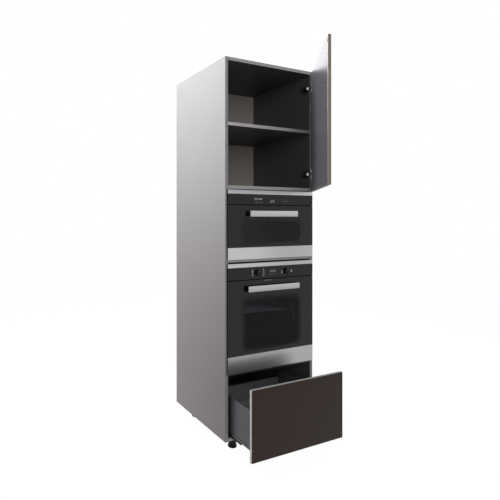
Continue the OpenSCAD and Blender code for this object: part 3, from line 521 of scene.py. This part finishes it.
def drawer_side_finish():
    """Powder coat, anthracite outside, and with painted light a lighter grey on the faces that look into
    the drawer.
    """
    s = Shader("drawer_coat")
    facing = s.node("ShaderNodeSeparateXYZ")
    s.link(s.node("ShaderNodeNewGeometry").outputs["Normal"], facing.inputs[0])
    outward = s.math("MULTIPLY", facing.outputs["X"], s.along(RIGHT))
    cloud = s.noise(3.5)
    outside, inside = s.tinted(DRAWER_COAT, cloud, 0.05), s.tinted(DRAWER_COAT_PAINTED_LIGHT, cloud, 0.05)
    s.set(Base_Color=s.mix(s.math("LESS_THAN", outward, -0.1), outside, inside))
    satin_surface(s, roughness=0.36)
    return s


paint(drawer_side_finish(), "drawer_side_left", "drawer_side_right")
paint(satin("bracket_coat", DRAWER_COAT, roughness=0.36), "front_brackets")
# The drawer's bottom and back are lightened, as painted light in the shaded drawer.
paint(satin("drawer_board", (0.34, 0.342, 0.35), roughness=0.45, variation=0.08), "drawer_bottom")
paint(satin("drawer_back_painted_light", (0.160, 0.162, 0.168), roughness=0.45, variation=0.08), "drawer_back")
paint(
    brushed("runner_zinc", (0.10, 0.10, 0.105), ALONG_Y, roughness=0.42),
    "middle_runners", "drawer_rails",
)
paint(satin("runner_black", (0.018, 0.018, 0.019), roughness=0.35), "cabinet_runners")


# ---------------------------------------------------------------- appliances

ZINC = (0.46, 0.47, 0.48)
BEHIND_FRONTS = (0.003, 0.003, 0.003)
ENAMEL, ENAMEL_SPECK = (0.034, 0.035, 0.041), (0.11, 0.115, 0.125)
GLASS = (0.0040, 0.0044, 0.0066)
GLASS_TINT, INNER_GLASS_TINT = (0.84, 0.85, 0.87), (0.88, 0.89, 0.90)
INNER_GLASS_CLEARNESS = 0.88
DOT_PITCH, DOT_BORDER = 0.0022, 0.050    # the print's dots, and the border in which they thin out
DOT_FULL = 0.52                          # the square of a dot's radius, in pitches, where it is widest
WINDOW_HALF_W = 0.215
STRIP_PAINTED_LIGHT = {                 # painted light: each strip's own tone of the same steel, and the (x, share of it) stops of its painted reflection
    "compact_top": (0.60, (-0.3, 1.0), (-0.05, 0.93), (0.3, 0.80)),
    "compact_base": (0.505, (-0.3, 1.0), (-0.1, 0.96), (0.06, 0.80), (0.3, 0.84)),
    "oven_top": (0.485, (-0.3, 1.0), (-0.1, 0.96), (0.1, 0.82), (0.3, 0.86)),
    "oven_base": (0.50, (-0.3, 1.0), (-0.1, 1.04), (0.08, 1.02), (0.14, 0.86), (0.3, 0.74)),
}
HANDLE_PAINTED_TONES = {"oven_handle": 0.40, "compact_handle": 0.455}    # tones of the same steel, the oven handle's darker one a painted shade


def casing_finish():
    """Galvanised sheet, black where it lies behind the fronts."""
    s = Shader("casing_zinc")
    brushed_surface(s, ALONG_Z, roughness=0.42)
    front = s.past(FRONT, -FRONT_Y - 0.001)
    cloud = s.noise(500, detail=2)
    s.set(
        Base_Color=s.mix(front, s.tinted(ZINC, cloud, 0.1), s.tinted(BEHIND_FRONTS, cloud, 0.2)),
        Metallic=s.math("SUBTRACT", 1.0, front),
        Specular_IOR_Level=0.04,
    )
    return s


def enamel_finish():
    """Dark enamel with fine pale specks."""
    s = Shader("oven_enamel")
    gloss_surface(s, roughness=0.16)
    color = s.mix(s.spots(scale=900, size=0.16), s.tinted(ENAMEL, s.noise(3), 0.08), ENAMEL_SPECK)
    s.set(Base_Color=color, Specular_IOR_Level=0.33)
    return s


def strip_finish(name, tone, reflection_stops):
    """Brushed steel with a painted reflection, which darkens it through the given (x, tone) stops along the
    strip.
    """
    s = Shader(name)
    lines = brushed_surface(s, LONG_BRUSH, roughness=0.30)
    steel = s.tinted((tone, tone * 0.992, tone * 1.022), lines, 0.06)
    # painted reflection: darker where the stops run low
    dark = s.math("SUBTRACT", 1.0, s.ramp(s.along(RIGHT), reflection_stops))
    s.set(Base_Color=s.mix(dark, steel, (0.0, 0.0, 0.0)), Metallic=1.0)
    return s


def handle_finish(node, tone):
    """Brushed steel with painted light, darker at a handle's lower edge and lighter at its upper one."""
    lo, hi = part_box(node)
    s = Shader(node + "_steel")
    lines = brushed_surface(s, LONG_BRUSH, roughness=0.34)
    steel = (tone, tone, tone * 1.013)
    # painted shade at the lower edge and painted highlight at the upper one
    lower, upper = [s.tinted([c * gain for c in steel], lines, 0.04) for gain in (0.84, 1.16)]
    s.set(Base_Color=s.mix(s.span(s.along(UP), lo.z, hi.z), lower, upper), Metallic=1.0)
    return s


def door_glass(name, low, high, clearness):
    """Glass with a black print that thins out in dots towards a window, through which the inside shows."""
    s = gloss(name, GLASS, roughness=0.035, specular=0.30)
    x, z = s.along(RIGHT), s.along(UP)
    across = s.window(x, -WINDOW_HALF_W, WINDOW_HALF_W, DOT_BORDER)
    inside = s.math("MULTIPLY", across, s.window(z, low, high, DOT_BORDER))
    squares = []
    for value in (x, z):
        off = s.math("SUBTRACT", s.math("FRACT", s.math("DIVIDE", value, DOT_PITCH)), 0.5)
        squares.append(s.math("MULTIPLY", off, off))
    bare = s.math("LESS_THAN", s.math("ADD", *squares), s.math("MULTIPLY", inside, DOT_FULL))
    s.see_through(s.math("MULTIPLY", bare, clearness), GLASS_TINT)
    return s


paint(casing_finish(), "oven_casing", "compact_casing")
paint(enamel_finish(), "oven_chamber", "baking_tray", "fan_cover")
paint(brushed("cavity_steel", (0.5, 0.5, 0.51), (0.05, 1, 1), roughness=0.32), "compact_chamber")
paint(brushed("rack_chrome", (0.72, 0.72, 0.73), (0.1, 1, 1), roughness=0.16), "side_racks", "wire_rack")

for name, (tone, *reflection_stops) in STRIP_PAINTED_LIGHT.items():
    paint(strip_finish(name + "_steel", tone, reflection_stops), name + "_strip")
for name, tone in HANDLE_PAINTED_TONES.items():
    paint(handle_finish(name, tone), name)
paint(
    satin("handle_end_plastic", (0.003, 0.003, 0.003), roughness=0.35, specular=0.12),
    "oven_handle_ends", "compact_handle_ends",
)
paint(
    gloss("control_glass", (0.0046, 0.0049, 0.0070), roughness=0.05, specular=0.28),
    "oven_control_panel", "compact_control_panel",
)
paint(
    satin("knob_plastic", (0.004, 0.004, 0.0042), roughness=0.34, specular=0.22),
    "oven_knob_left", "oven_knob_right",
)
paint(
    satin("frame_enamel", (0.006, 0.006, 0.0065), roughness=0.35, specular=0.12),
    "oven_door_frame", "compact_door_frame",
)
oven_glass = door_glass("oven_glass", OVEN_Z + 0.103, OVEN_Z + 0.420, clearness=0.76)
compact_glass = door_glass("compact_glass", COMPACT_Z + 0.076, COMPACT_Z + 0.232, clearness=0.62)
paint(oven_glass, "oven_door_glass")
paint(compact_glass, "compact_door_glass")
inner_glass = gloss("inner_glass", (0.02, 0.021, 0.023), roughness=0.04)
inner_glass.see_through(INNER_GLASS_CLEARNESS, INNER_GLASS_TINT)
paint(inner_glass, "oven_inner_glass", "compact_inner_glass")


# ---------------------------------------------------------------- pieces that the solids leave out

def piece(name, bm, shader, body):
    """A finished bmesh as an object of the scene that moves with a body."""
    mesh = bpy.data.meshes.new(name)
    bmesh.ops.recalc_face_normals(bm, faces=bm.faces)
    bm.to_mesh(mesh)
    bm.free()
    mesh.materials.append(shader.material)
    made = bpy.data.objects.new(name, mesh)
    scene.collection.objects.link(made)
    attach(made, body)


def hoop(bm, middle, radius, across, up, sides):
    """The corners of a ring."""
    turns = (2 * math.pi * k / sides for k in range(sides))
    return [bm.verts.new(middle + radius * (across * math.cos(t) + up * math.sin(t))) for t in turns]


def bridge(bm, a, b):
    """Faces between two rings of as many corners, where a corner may be repeated."""
    for k in range(len(a)):
        after = (k + 1) % len(a)
        bm.faces.new(list(dict.fromkeys((a[k], a[after], b[after], b[k]))))


def tube(bm, points, radius, sides=10, closed=False):
    """A round rod along a list of points."""
    rings = []
    count = len(points)
    for i, point in enumerate(points):
        before = points[i - 1] if (i or closed) else point
        after = points[(i + 1) % count] if (i < count - 1 or closed) else point
        direction = (after - before).normalized()
        across = direction.cross(Vector(UP))
        across = across.normalized() if across.length > 0.01 else Vector(RIGHT)
        up = across.cross(direction).normalized()
        rings.append(hoop(bm, point, radius, across, up, sides))
    for a, b in list(zip(rings, rings[1:])) + ([(rings[-1], rings[0])] if closed else []):
        bridge(bm, a, b)
    if not closed:
        bm.faces.new(rings[0])
        bm.faces.new(rings[-1])


def rounded_path(corners, radius, steps=6):
    """Points along a path with its inner corners rounded."""
    path = [corners[0]]
    for before, corner, after in zip(corners, corners[1:], corners[2:]):
        start = corner + (before - corner).normalized() * radius
        end = corner + (after - corner).normalized() * radius
        for i in range(steps + 1):
            t = i / steps
            path.append(start * (1 - t) ** 2 + corner * 2 * t * (1 - t) + end * t ** 2)
    path.append(corners[-1])
    return path


def upright_loop(bm, half_w, low, high, y, corner, radius, steps=6):
    """A closed round bead along an upright rectangle with rounded corners."""
    start = Vector((0, y, low))
    turns = [Vector((x, y, z)) for x, z in ((half_w, low), (half_w, high), (-half_w, high), (-half_w, low))]
    tube(bm, rounded_path([start, *turns, start], corner, steps)[:-1], radius, closed=True)


def turned(bm, origin, axis, profile, sides):
    """A turned shape: (radius, height) pairs of a closed outline, revolved about an axis through origin."""
    axis = Vector(axis).normalized()
    across = axis.orthogonal().normalized()
    up = axis.cross(across)
    rings = []
    for radius, height in profile:
        foot = origin + axis * height
        if radius == 0:
            rings.append([bm.verts.new(foot)] * sides)
        else:
            rings.append(hoop(bm, foot, radius, across, up, sides))
    closing = [] if profile[0][0] == 0 else [(rings[-1], rings[0])]
    for a, b in list(zip(rings, rings[1:])) + closing:
        bridge(bm, a, b)


SCREW_HEAD = [(0, 0.2), (0.34, 0.3), (0.44, 1), (0.8, 0.85), (1, 0), (0, 0)]


def screw(bm, origin, axis, radius):
    """The head of a countersunk screw with a round driver socket."""
    height = radius * 0.32
    head = [(radius * across, height * up) for across, up in SCREW_HEAD]
    turned(bm, origin, axis, head, sides=24)


def block(bm, low, high, bevel):
    """A box between two corners with its edges rounded over."""
    made = bmesh.ops.create_cube(bm, size=1.0)["verts"]
    low, high = Vector(low), Vector(high)
    for vert in made:
        vert.co = (low + high) / 2 + Vector(c * d for c, d in zip(vert.co, high - low))
    edges = {edge for vert in made for edge in vert.link_edges}
    bmesh.ops.bevel(bm, geom=list(edges), offset=bevel, segments=3, affect="EDGES", profile=0.5)


# ---------------------------------------------------------------- prints on the control panels

PRINT = 0.00015            # thickness of a print


def printed(bm, outline, y=FACE_Y):
    """A closed outline in X and Z as a raised print on a face that looks to the front."""
    back = [bm.verts.new((x, y, z)) for x, z in outline]
    front = [bm.verts.new((x, y - PRINT, z)) for x, z in outline]
    bm.faces.new(back)
    bm.faces.new(front)
    bridge(bm, back, front)


def bar(bm, x0, z0, x1, z1, width, y=FACE_Y):
    """A printed line between two points, with chamfered ends."""
    along = Vector((x1 - x0, z1 - z0))
    side = Vector((-along.y, along.x)).normalized() * width / 2
    tip = along.normalized() * width * 0.35
    a, b = Vector((x0, z0)), Vector((x1, z1))
    printed(bm, [a - side, a - tip, a + side, b + side, b + tip, b - side], y)


def ring(bm, x, z, radius, width, steps=24):
    """A printed ring."""
    points = [2 * math.pi * i / steps for i in range(steps + 1)]
    inner, outer = radius - width / 2, radius + width / 2
    for a, b in zip(points, points[1:]):
        corners = [(inner, a), (outer, a), (outer, b), (inner, b)]
        printed(bm, [(x + r * math.cos(t), z + r * math.sin(t)) for r, t in corners])


SEGMENTS = {  # the strokes of a seven-segment digit, on a grid one wide and two high
    "top": (0, 2, 1, 2), "middle": (0, 1, 1, 1), "bottom": (0, 0, 1, 0),
    "upper_left": (0, 1, 0, 2), "upper_right": (1, 1, 1, 2),
    "lower_left": (0, 0, 0, 1), "lower_right": (1, 0, 1, 1),
}
DIGITS = {
    "0": ("top", "bottom", "upper_left", "upper_right", "lower_left", "lower_right"),
    "1": ("upper_right", "lower_right"),
    "2": ("top", "upper_right", "middle", "lower_left", "bottom"),
    "5": ("top", "upper_left", "middle", "lower_right", "bottom"),
    "8": tuple(SEGMENTS),
}


def digits(bm, text, x, z, width, height, pitch, stroke):
    """Numbers whose lower left corner is at x and z. A point in the text stands for a colon."""
    gap = stroke * 0.6
    for character in text:
        if character == ".":
            for share in (0.3, 0.7):
                bar(bm, x + stroke, z + height * share, x + stroke * 2, z + height * share, stroke)
            x += pitch * 0.4
            continue
        for name in DIGITS[character]:
            x0, z0, x1, z1 = SEGMENTS[name]
            dx, dz = (gap if x0 != x1 else 0), (gap if z0 != z1 else 0)
            start = (x + x0 * width + dx, z + z0 * height / 2 + dz)
            end = (x + x1 * width - dx, z + z1 * height / 2 - dz)
            bar(bm, *start, *end, stroke)
        x += pitch


def icon(bm, kind, x, z, size):
    """A plain cooking symbol in a frame: heat from above or below, a fan, rays or steam."""
    half, line = size / 2, size * 0.11
    for side in (-1, 1):
        bar(bm, x + side * half, z - half * 0.75, x + side * half, z + half * 0.75, line)
    if kind in ("top", "both", "rays"):
        bar(bm, x - half, z + half * 0.8, x + half, z + half * 0.8, line * 1.3)
    if kind in ("bottom", "both"):
        bar(bm, x - half, z - half * 0.8, x + half, z - half * 0.8, line * 1.3)
    if kind == "fan":
        ring(bm, x, z, half * 0.5, line)
        ring(bm, x, z, half * 0.12, line)
    if kind in ("rays", "steam"):
        for i in (-1, 0, 1):
            foot = x + i * half * 0.5
            bar(bm, foot, z - half * 0.45, foot + half * 0.12, z + half * 0.3, line)


print_white = satin("panel_print", (0.80, 0.81, 0.82), roughness=0.4)
print_dim = satin("panel_print_dim", (0.24, 0.245, 0.25), roughness=0.4)
display_light = satin("display_light", (0.36, 0.38, 0.40), roughness=0.4)
display_light.set(Emission_Color=(0.75, 0.85, 0.9), Emission_Strength=0.10)

# the compact oven's panel: two rows of symbols, two digits and a row of small marks
COMPACT_ROW_Z = FOOT_H + 1.3025
SYMBOL_X, SYMBOL_PITCH = -0.114, 0.0172
MARK_X, MARK_PITCH, MARK_W = 0.078, 0.0105, 0.007
MARK_LINE = 0.0022
bm = bmesh.new()
for i, kind in enumerate(("both", "fan", "rays")):
    icon(bm, kind, SYMBOL_X + i * SYMBOL_PITCH, COMPACT_ROW_Z + 0.0105, 0.0105)
piece("compact_symbols", bm, print_white, "carcass")
bm = bmesh.new()
for i, kind in enumerate(("bottom", "steam", "top")):
    icon(bm, kind, SYMBOL_X + i * SYMBOL_PITCH, COMPACT_ROW_Z - 0.0075, 0.0085)
for i in range(4):
    x = MARK_X + i * MARK_PITCH
    bar(bm, x, COMPACT_ROW_Z, x + MARK_W, COMPACT_ROW_Z, MARK_LINE)
piece("compact_small_symbols", bm, print_dim, "carcass")
bm = bmesh.new()
digits(bm, "28", -0.0135, COMPACT_ROW_Z - 0.0070, width=0.0100, height=0.0130, pitch=0.0160, stroke=0.0016)
piece("compact_digits", bm, display_light, "carcass")

# the oven's panel: symbols and numbers round the knobs, and a clock with touch marks between them
KINDS = ("both", "fan", "rays", "bottom", "top", "steam")
ICON_COLUMNS, ICON_ROWS, ICON_PITCH = (-0.137, -0.062), 5, 0.0082
NUMBER_PITCH = 0.0078
NUMBER_SIZE = {"width": 0.0026, "height": 0.0044, "pitch": 0.0041, "stroke": 0.0009}
NUMBERS = (                # left side, height of the first row, numbers downwards
    (0.0635, KNOB_Z + 0.0015, ("150", "100", "50")),
    (0.1315, KNOB_Z + 0.0030, ("200", "250")),
)
DOOR_LINE_Z = OVEN_Z + 0.4965
bm = bmesh.new()
for column, x in enumerate(ICON_COLUMNS):
    for row in range(ICON_ROWS):
        kind = KINDS[(row + 2 * column) % len(KINDS)]
        icon(bm, kind, x, KNOB_Z + 0.0165 - row * ICON_PITCH, 0.0066)
piece("oven_symbols", bm, print_white, "carcass")
bm = bmesh.new()
for x, first_z, numbers in NUMBERS:
    for row, number in enumerate(numbers):
        digits(bm, number, x, first_z - row * NUMBER_PITCH, **NUMBER_SIZE)
piece("oven_numbers", bm, print_white, "carcass")
bm = bmesh.new()
digits(bm, "12.00", -0.0235, KNOB_Z + 0.0005, width=0.0068, height=0.0095, pitch=0.0108, stroke=0.0014)
piece("oven_clock", bm, display_light, "carcass")
bm = bmesh.new()
for i in range(4):
    ring(bm, -0.018 + i * 0.012, KNOB_Z - 0.012, 0.0022, 0.0008)
piece("oven_touch_marks", bm, print_dim, "carcass")
bm = bmesh.new()
bar(bm, -0.058, DOOR_LINE_Z, -0.006, DOOR_LINE_Z, MARK_LINE)
piece("oven_door_line", bm, print_dim, "oven_door")


# ---------------------------------------------------------------- heating rod, screws, pointers and seals

ELEMENT_X = (-0.17, -0.12, -0.07, -0.02, 0.02, 0.07, 0.12, 0.17)
ELEMENT_Y = (FRONT_Y + 0.075, FRONT_Y + 0.425)
ELEMENT_DROP = 0.0835      # below the chamber's top
PLATE_FACE_X, ARM_FACE_X = 0.2865, 0.2755        # the faces of plates and arms, and their screws
PLATE_SCREW_Y, PLATE_SCREW_RISE = FRONT_Y + 0.035, 0.018
ARM_SCREWS_Y = (FRONT_Y + 0.0222, FRONT_Y + 0.042)
CUP_SCREW_Y, CUP_SCREW_RISE = FRONT_Y - 0.0018, 0.022
PLATE_REACH = 0.025        # from a plate's end to its middle
NOTCH = (KNOB_Z + 0.0066, KNOB_Z + 0.0146)
NOTCH_Y = FACE_Y - 0.0157
SEAL_INSET, SEAL_R = 0.0036, 0.0031
LAMP_X = -0.165
FAN = Vector((0, FRONT_Y + 0.4434, OVEN_Z + 0.260))
FAN_SCREW_REACH = 0.108

screw_steel = brushed("screw_steel", (0.66, 0.66, 0.65), (1, 1, 0.3), roughness=0.26)
screw_black = brushed("screw_black", (0.16, 0.16, 0.165), (1, 1, 0.3), roughness=0.3)
seal_rubber = satin("seal_rubber", (0.012, 0.012, 0.012), roughness=0.55, variation=0.1)
lamp_glass = satin(
    "lamp_glass", (0.62, 0.63, 0.62), roughness=0.14, variation=0.04, grain=160, depth=0.0004
)


def grill_element():
    """The heating rod under the oven chamber's ceiling, folded to and fro."""
    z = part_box("oven_chamber")[1].z - ELEMENT_DROP
    corners = []
    for i, x in enumerate(ELEMENT_X):
        for y in (ELEMENT_Y if i % 2 else reversed(ELEMENT_Y)):
            corners.append(Vector((x, y, z)))
    bm = bmesh.new()
    tube(bm, rounded_path(corners, radius=0.02), radius=0.0032)
    element_steel = brushed("element_steel", (0.22, 0.21, 0.2), (1, 0.2, 1), roughness=0.4)
    piece("oven_grill_element", bm, element_steel, "carcass")


def hinge_screws():
    """The screws of the plates on the gable, and those of the cups, which turn with the door."""
    lo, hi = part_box("hinge_plates")
    heights = (lo.z + PLATE_REACH, hi.z - PLATE_REACH)
    bm = bmesh.new()
    for z in heights:
        for side in (-1, 1):
            place = Vector((PLATE_FACE_X, PLATE_SCREW_Y, z + side * PLATE_SCREW_RISE))
            screw(bm, place, LEFT, radius=0.0042)
        for y in ARM_SCREWS_Y:
            screw(bm, Vector((ARM_FACE_X, y, z)), LEFT, radius=0.0036)
    piece("hinge_screws", bm, screw_black, "carcass")
    turn = Matrix.Rotation(DOOR_ANGLE, 3, "Z")
    bm = bmesh.new()
    for z in heights:
        for side in (-1, 1):
            closed = Vector((CUP_X, CUP_SCREW_Y, z + side * CUP_SCREW_RISE))
            screw(bm, turn @ (closed - HINGE) + HINGE, turn @ Vector(REAR), radius=0.0034)
    piece("hinge_cup_screws", bm, screw_steel, "cupboard_door")


def pointer_mark(name, x, body):
    """White paint in the notch of a knob."""
    bm = bmesh.new()
    bar(bm, x, NOTCH[0], x, NOTCH[1], width=0.0011, y=NOTCH_Y)
    piece(name, bm, print_white, body)


def door_seal(name, width, low, high):
    """The seal round the mouth of a cooking chamber."""
    inset = SEAL_INSET
    half_w, y, corner = width / 2 - inset, CHAMBER_MOUTH_Y + inset, CHAMBER_R - inset
    bm = bmesh.new()
    upright_loop(bm, half_w, low + inset, high - inset, y, corner, SEAL_R)
    piece(name, bm, seal_rubber, "carcass")


def chamber_lamp(name, rear_y, z, radius):
    """A round lamp lens in its ring, on the rear wall of a cooking chamber."""
    place = Vector((LAMP_X, rear_y, z))
    dome = [(0, 0.0068), (0.4, 0.0062), (0.72, 0.0046), (0.95, 0.0022), (1, 0), (0, 0)]
    bm = bmesh.new()
    turned(bm, place, FRONT, [(share * radius, height) for share, height in dome], sides=32)
    piece(name + "_lens", bm, lamp_glass, "carcass")
    inner, outer = radius + 0.0002, radius + 0.0052
    rim = [(inner, 0.0), (inner, 0.0034), (inner + 0.0012, 0.0042), (outer - 0.0012, 0.0034), (outer, 0.0)]
    bm = bmesh.new()
    turned(bm, place, FRONT, rim, sides=32)
    piece(name + "_ring", bm, screw_steel, "carcass")


def fan_cover_screws():
    """The four screws round the fan in the oven chamber's rear wall."""
    bm = bmesh.new()
    for quarter in range(4):
        angle = math.radians(45 + 90 * quarter)
        place = FAN + FAN_SCREW_REACH * Vector((math.cos(angle), 0, math.sin(angle)))
        screw(bm, place, FRONT, radius=0.0042)
    piece("fan_cover_screws", bm, screw_steel, "carcass")


grill_element()
hinge_screws()
for side, x in (("left", -KNOB_X), ("right", KNOB_X)):
    pointer_mark("pointer_" + side, x, "knob_" + side)
for name, (width, low, high, rear_y, lamp_z, lamp_r) in CHAMBERS.items():
    door_seal(name + "_door_seal", width, low, high)
for name, (width, low, high, rear_y, lamp_z, lamp_r) in CHAMBERS.items():
    chamber_lamp(name + "_lamp", rear_y, lamp_z, lamp_r)
fan_cover_screws()


# ---------------------------------------------------------------- the appliances' backs

swage_zinc = brushed("swage_zinc", (0.40, 0.41, 0.42), ALONG_Z, roughness=0.38, variation=0.1)
terminal_plastic = satin("terminal_plastic", (0.022, 0.022, 0.023), roughness=0.5, variation=0.1)

BEAD_HALF_W, BEAD_INSET = 0.215, 0.055
SHEET_SCREW = [
    (0, 0.0014), (0.0012, 0.0016), (0.0016, 0.0026), (0.0036, 0.0022),
    (0.0044, 0.0010), (0.0062, 0.0006), (0.0062, 0), (0, 0),
]
SHEET_SCREW_X, SHEET_SCREW_INSET, SHEET_SCREW_PITCH = 0.272, 0.03, 0.14
COVER_SCREW = [(0, 0.0008), (0.0010, 0.0009), (0.0014, 0.0016), (0.0026, 0.0013), (0.0032, 0), (0, 0)]
COVER_X = (-0.195, -0.105)         # the terminal cover's sides
COVER_RISE = (0.020, 0.080)        # its lower and upper edge, above the bead's
COVER_D = 0.0160
COVER_SCREW_INSET = 0.0055
CABLE_BUSH = [                     # the ribbed cable entry under the cover
    (0, 0), (0.0085, 0), (0.0085, 0.004), (0.0072, 0.0055), (0.0072, 0.008),
    (0.0062, 0.0095), (0.0062, 0.013), (0.0046, 0.015), (0, 0.015),
]


def rear_fittings(name, low, high):
    """What sits on the back of a casing: a pressed bead, sheet-metal screws and the terminal cover."""
    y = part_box(name + "_casing")[1].y
    bead_low, bead_high = low + BEAD_INSET, high - BEAD_INSET
    bm = bmesh.new()
    upright_loop(bm, BEAD_HALF_W, bead_low, bead_high, y, corner=0.03, radius=0.0028, steps=10)
    piece(name + "_rear_bead", bm, swage_zinc, "carcass")

    rows = max(3, round((high - low) / SHEET_SCREW_PITCH))
    pitch = (high - low - 2 * SHEET_SCREW_INSET) / (rows - 1)
    left, right = COVER_X
    foot, head = bead_low + COVER_RISE[0], bead_low + COVER_RISE[1]
    bm = bmesh.new()
    for side in (-1, 1):
        for row in range(rows):
            place = Vector((side * SHEET_SCREW_X, y, low + SHEET_SCREW_INSET + pitch * row))
            turned(bm, place, REAR, SHEET_SCREW, sides=20)
    for x in (left + COVER_SCREW_INSET, right - COVER_SCREW_INSET):
        for z in (foot + COVER_SCREW_INSET, head - COVER_SCREW_INSET):
            turned(bm, Vector((x, y + COVER_D, z)), REAR, COVER_SCREW, sides=20)
    piece(name + "_rear_screws", bm, screw_steel, "carcass")

    bm = bmesh.new()
    block(bm, (left, y, foot), (right, y + COVER_D, head), bevel=0.003)
    turned(bm, Vector(((left + right) / 2, y + 0.0086, foot + 0.0005)), DOWN, CABLE_BUSH, sides=24)
    piece(name + "_terminal_cover", bm, terminal_plastic, "carcass")


for name, (low, high) in CASINGS.items():
    rear_fittings(name, low, high)


# ---------------------------------------------------------------- stage and light

WHITE = (1, 1, 1)
FLOOR_PALE = (0.44, 0.40, 0.37)    # what the floor throws back at the object
FLOOR_HALF, FLOOR_Z = 9.0, -0.0005
FLOOR_SHOWN = 0.9                  # how much of the white floor shows, the rest being its shadows
FLOOR_WHITE = 1.09
WORLD_LIGHT = 0.25
LAMPS = (                          # name, place, what it points at, width and height, watts
    ("light_left_high", (-1.65, 0.1, 2.85), (-0.3, 0.1, 2.0), (0.9, 1.2), 77),
    ("light_front", (-1.7, -3.3, 2.2), (0, -0.2, 1.4), (1.6, 2.0), 48),
    ("light_behind", (2.3, 3.6, 3.9), (0.1, -0.5, 2.1), (1.8, 1.2), 20),
    ("light_right", (3.2, 0.3, 1.75), (0.3, 0.1, 1.3), (4.0, 3.2), 60),
    ("light_top", (0.0, -0.6, 3.6), (0, 0, 1.5), (1.6, 1.6), 7),
)


def floor_finish():
    """The camera, metal and glass see a white floor, darker only where the object shades it."""
    s = Shader("floor_pale")
    color = s.tinted(FLOOR_PALE, s.noise(60, detail=2), 0.01)
    s.set(Base_Color=color, Roughness=0.9, Specular_IOR_Level=0.1)
    white = s.node("ShaderNodeEmission")
    s.put(white.inputs["Color"], WHITE)
    s.put(white.inputs["Strength"], FLOOR_WHITE)
    share = s.math("MULTIPLY", s.looking_rays(), FLOOR_SHOWN)
    s.output_mix(share, s.bsdf.outputs["BSDF"], white.outputs["Emission"])
    return s


def make_floor():
    mesh = bpy.data.meshes.new("floor")
    corners = [(x * FLOOR_HALF, y * FLOOR_HALF, 0) for x, y in ((-1, -1), (1, -1), (1, 1), (-1, 1))]
    mesh.from_pydata(corners, [], [(0, 1, 2, 3)])
    mesh.materials.append(floor_finish().material)
    floor = bpy.data.objects.new("floor", mesh)
    floor.location.z = FLOOR_Z
    scene.collection.objects.link(floor)


def make_world():
    """A weak even light, which the camera, metal and glass see as plain white."""
    world = bpy.data.worlds.new("studio")
    scene.world = world
    world.use_nodes = True
    graph = Graph(world.node_tree, "World Output")
    light = world.node_tree.nodes["Background"]
    white = graph.node("ShaderNodeBackground")
    for background, strength in ((light, WORLD_LIGHT), (white, 1.0)):
        graph.put(background.inputs["Color"], WHITE)
        graph.put(background.inputs["Strength"], strength)
    graph.output_mix(graph.looking_rays(), light.outputs[0], white.outputs[0])


def softbox(name, place, target, size, power):
    light = bpy.data.lights.new(name, "AREA")
    light.shape = "RECTANGLE"
    light.size, light.size_y = size
    light.energy = power
    aimed(name, light, place, Vector(target) - Vector(place))


make_floor()
make_world()
for lamp in LAMPS:
    softbox(*lamp)

bpy.context.scene.view_settings.view_transform = "Standard"
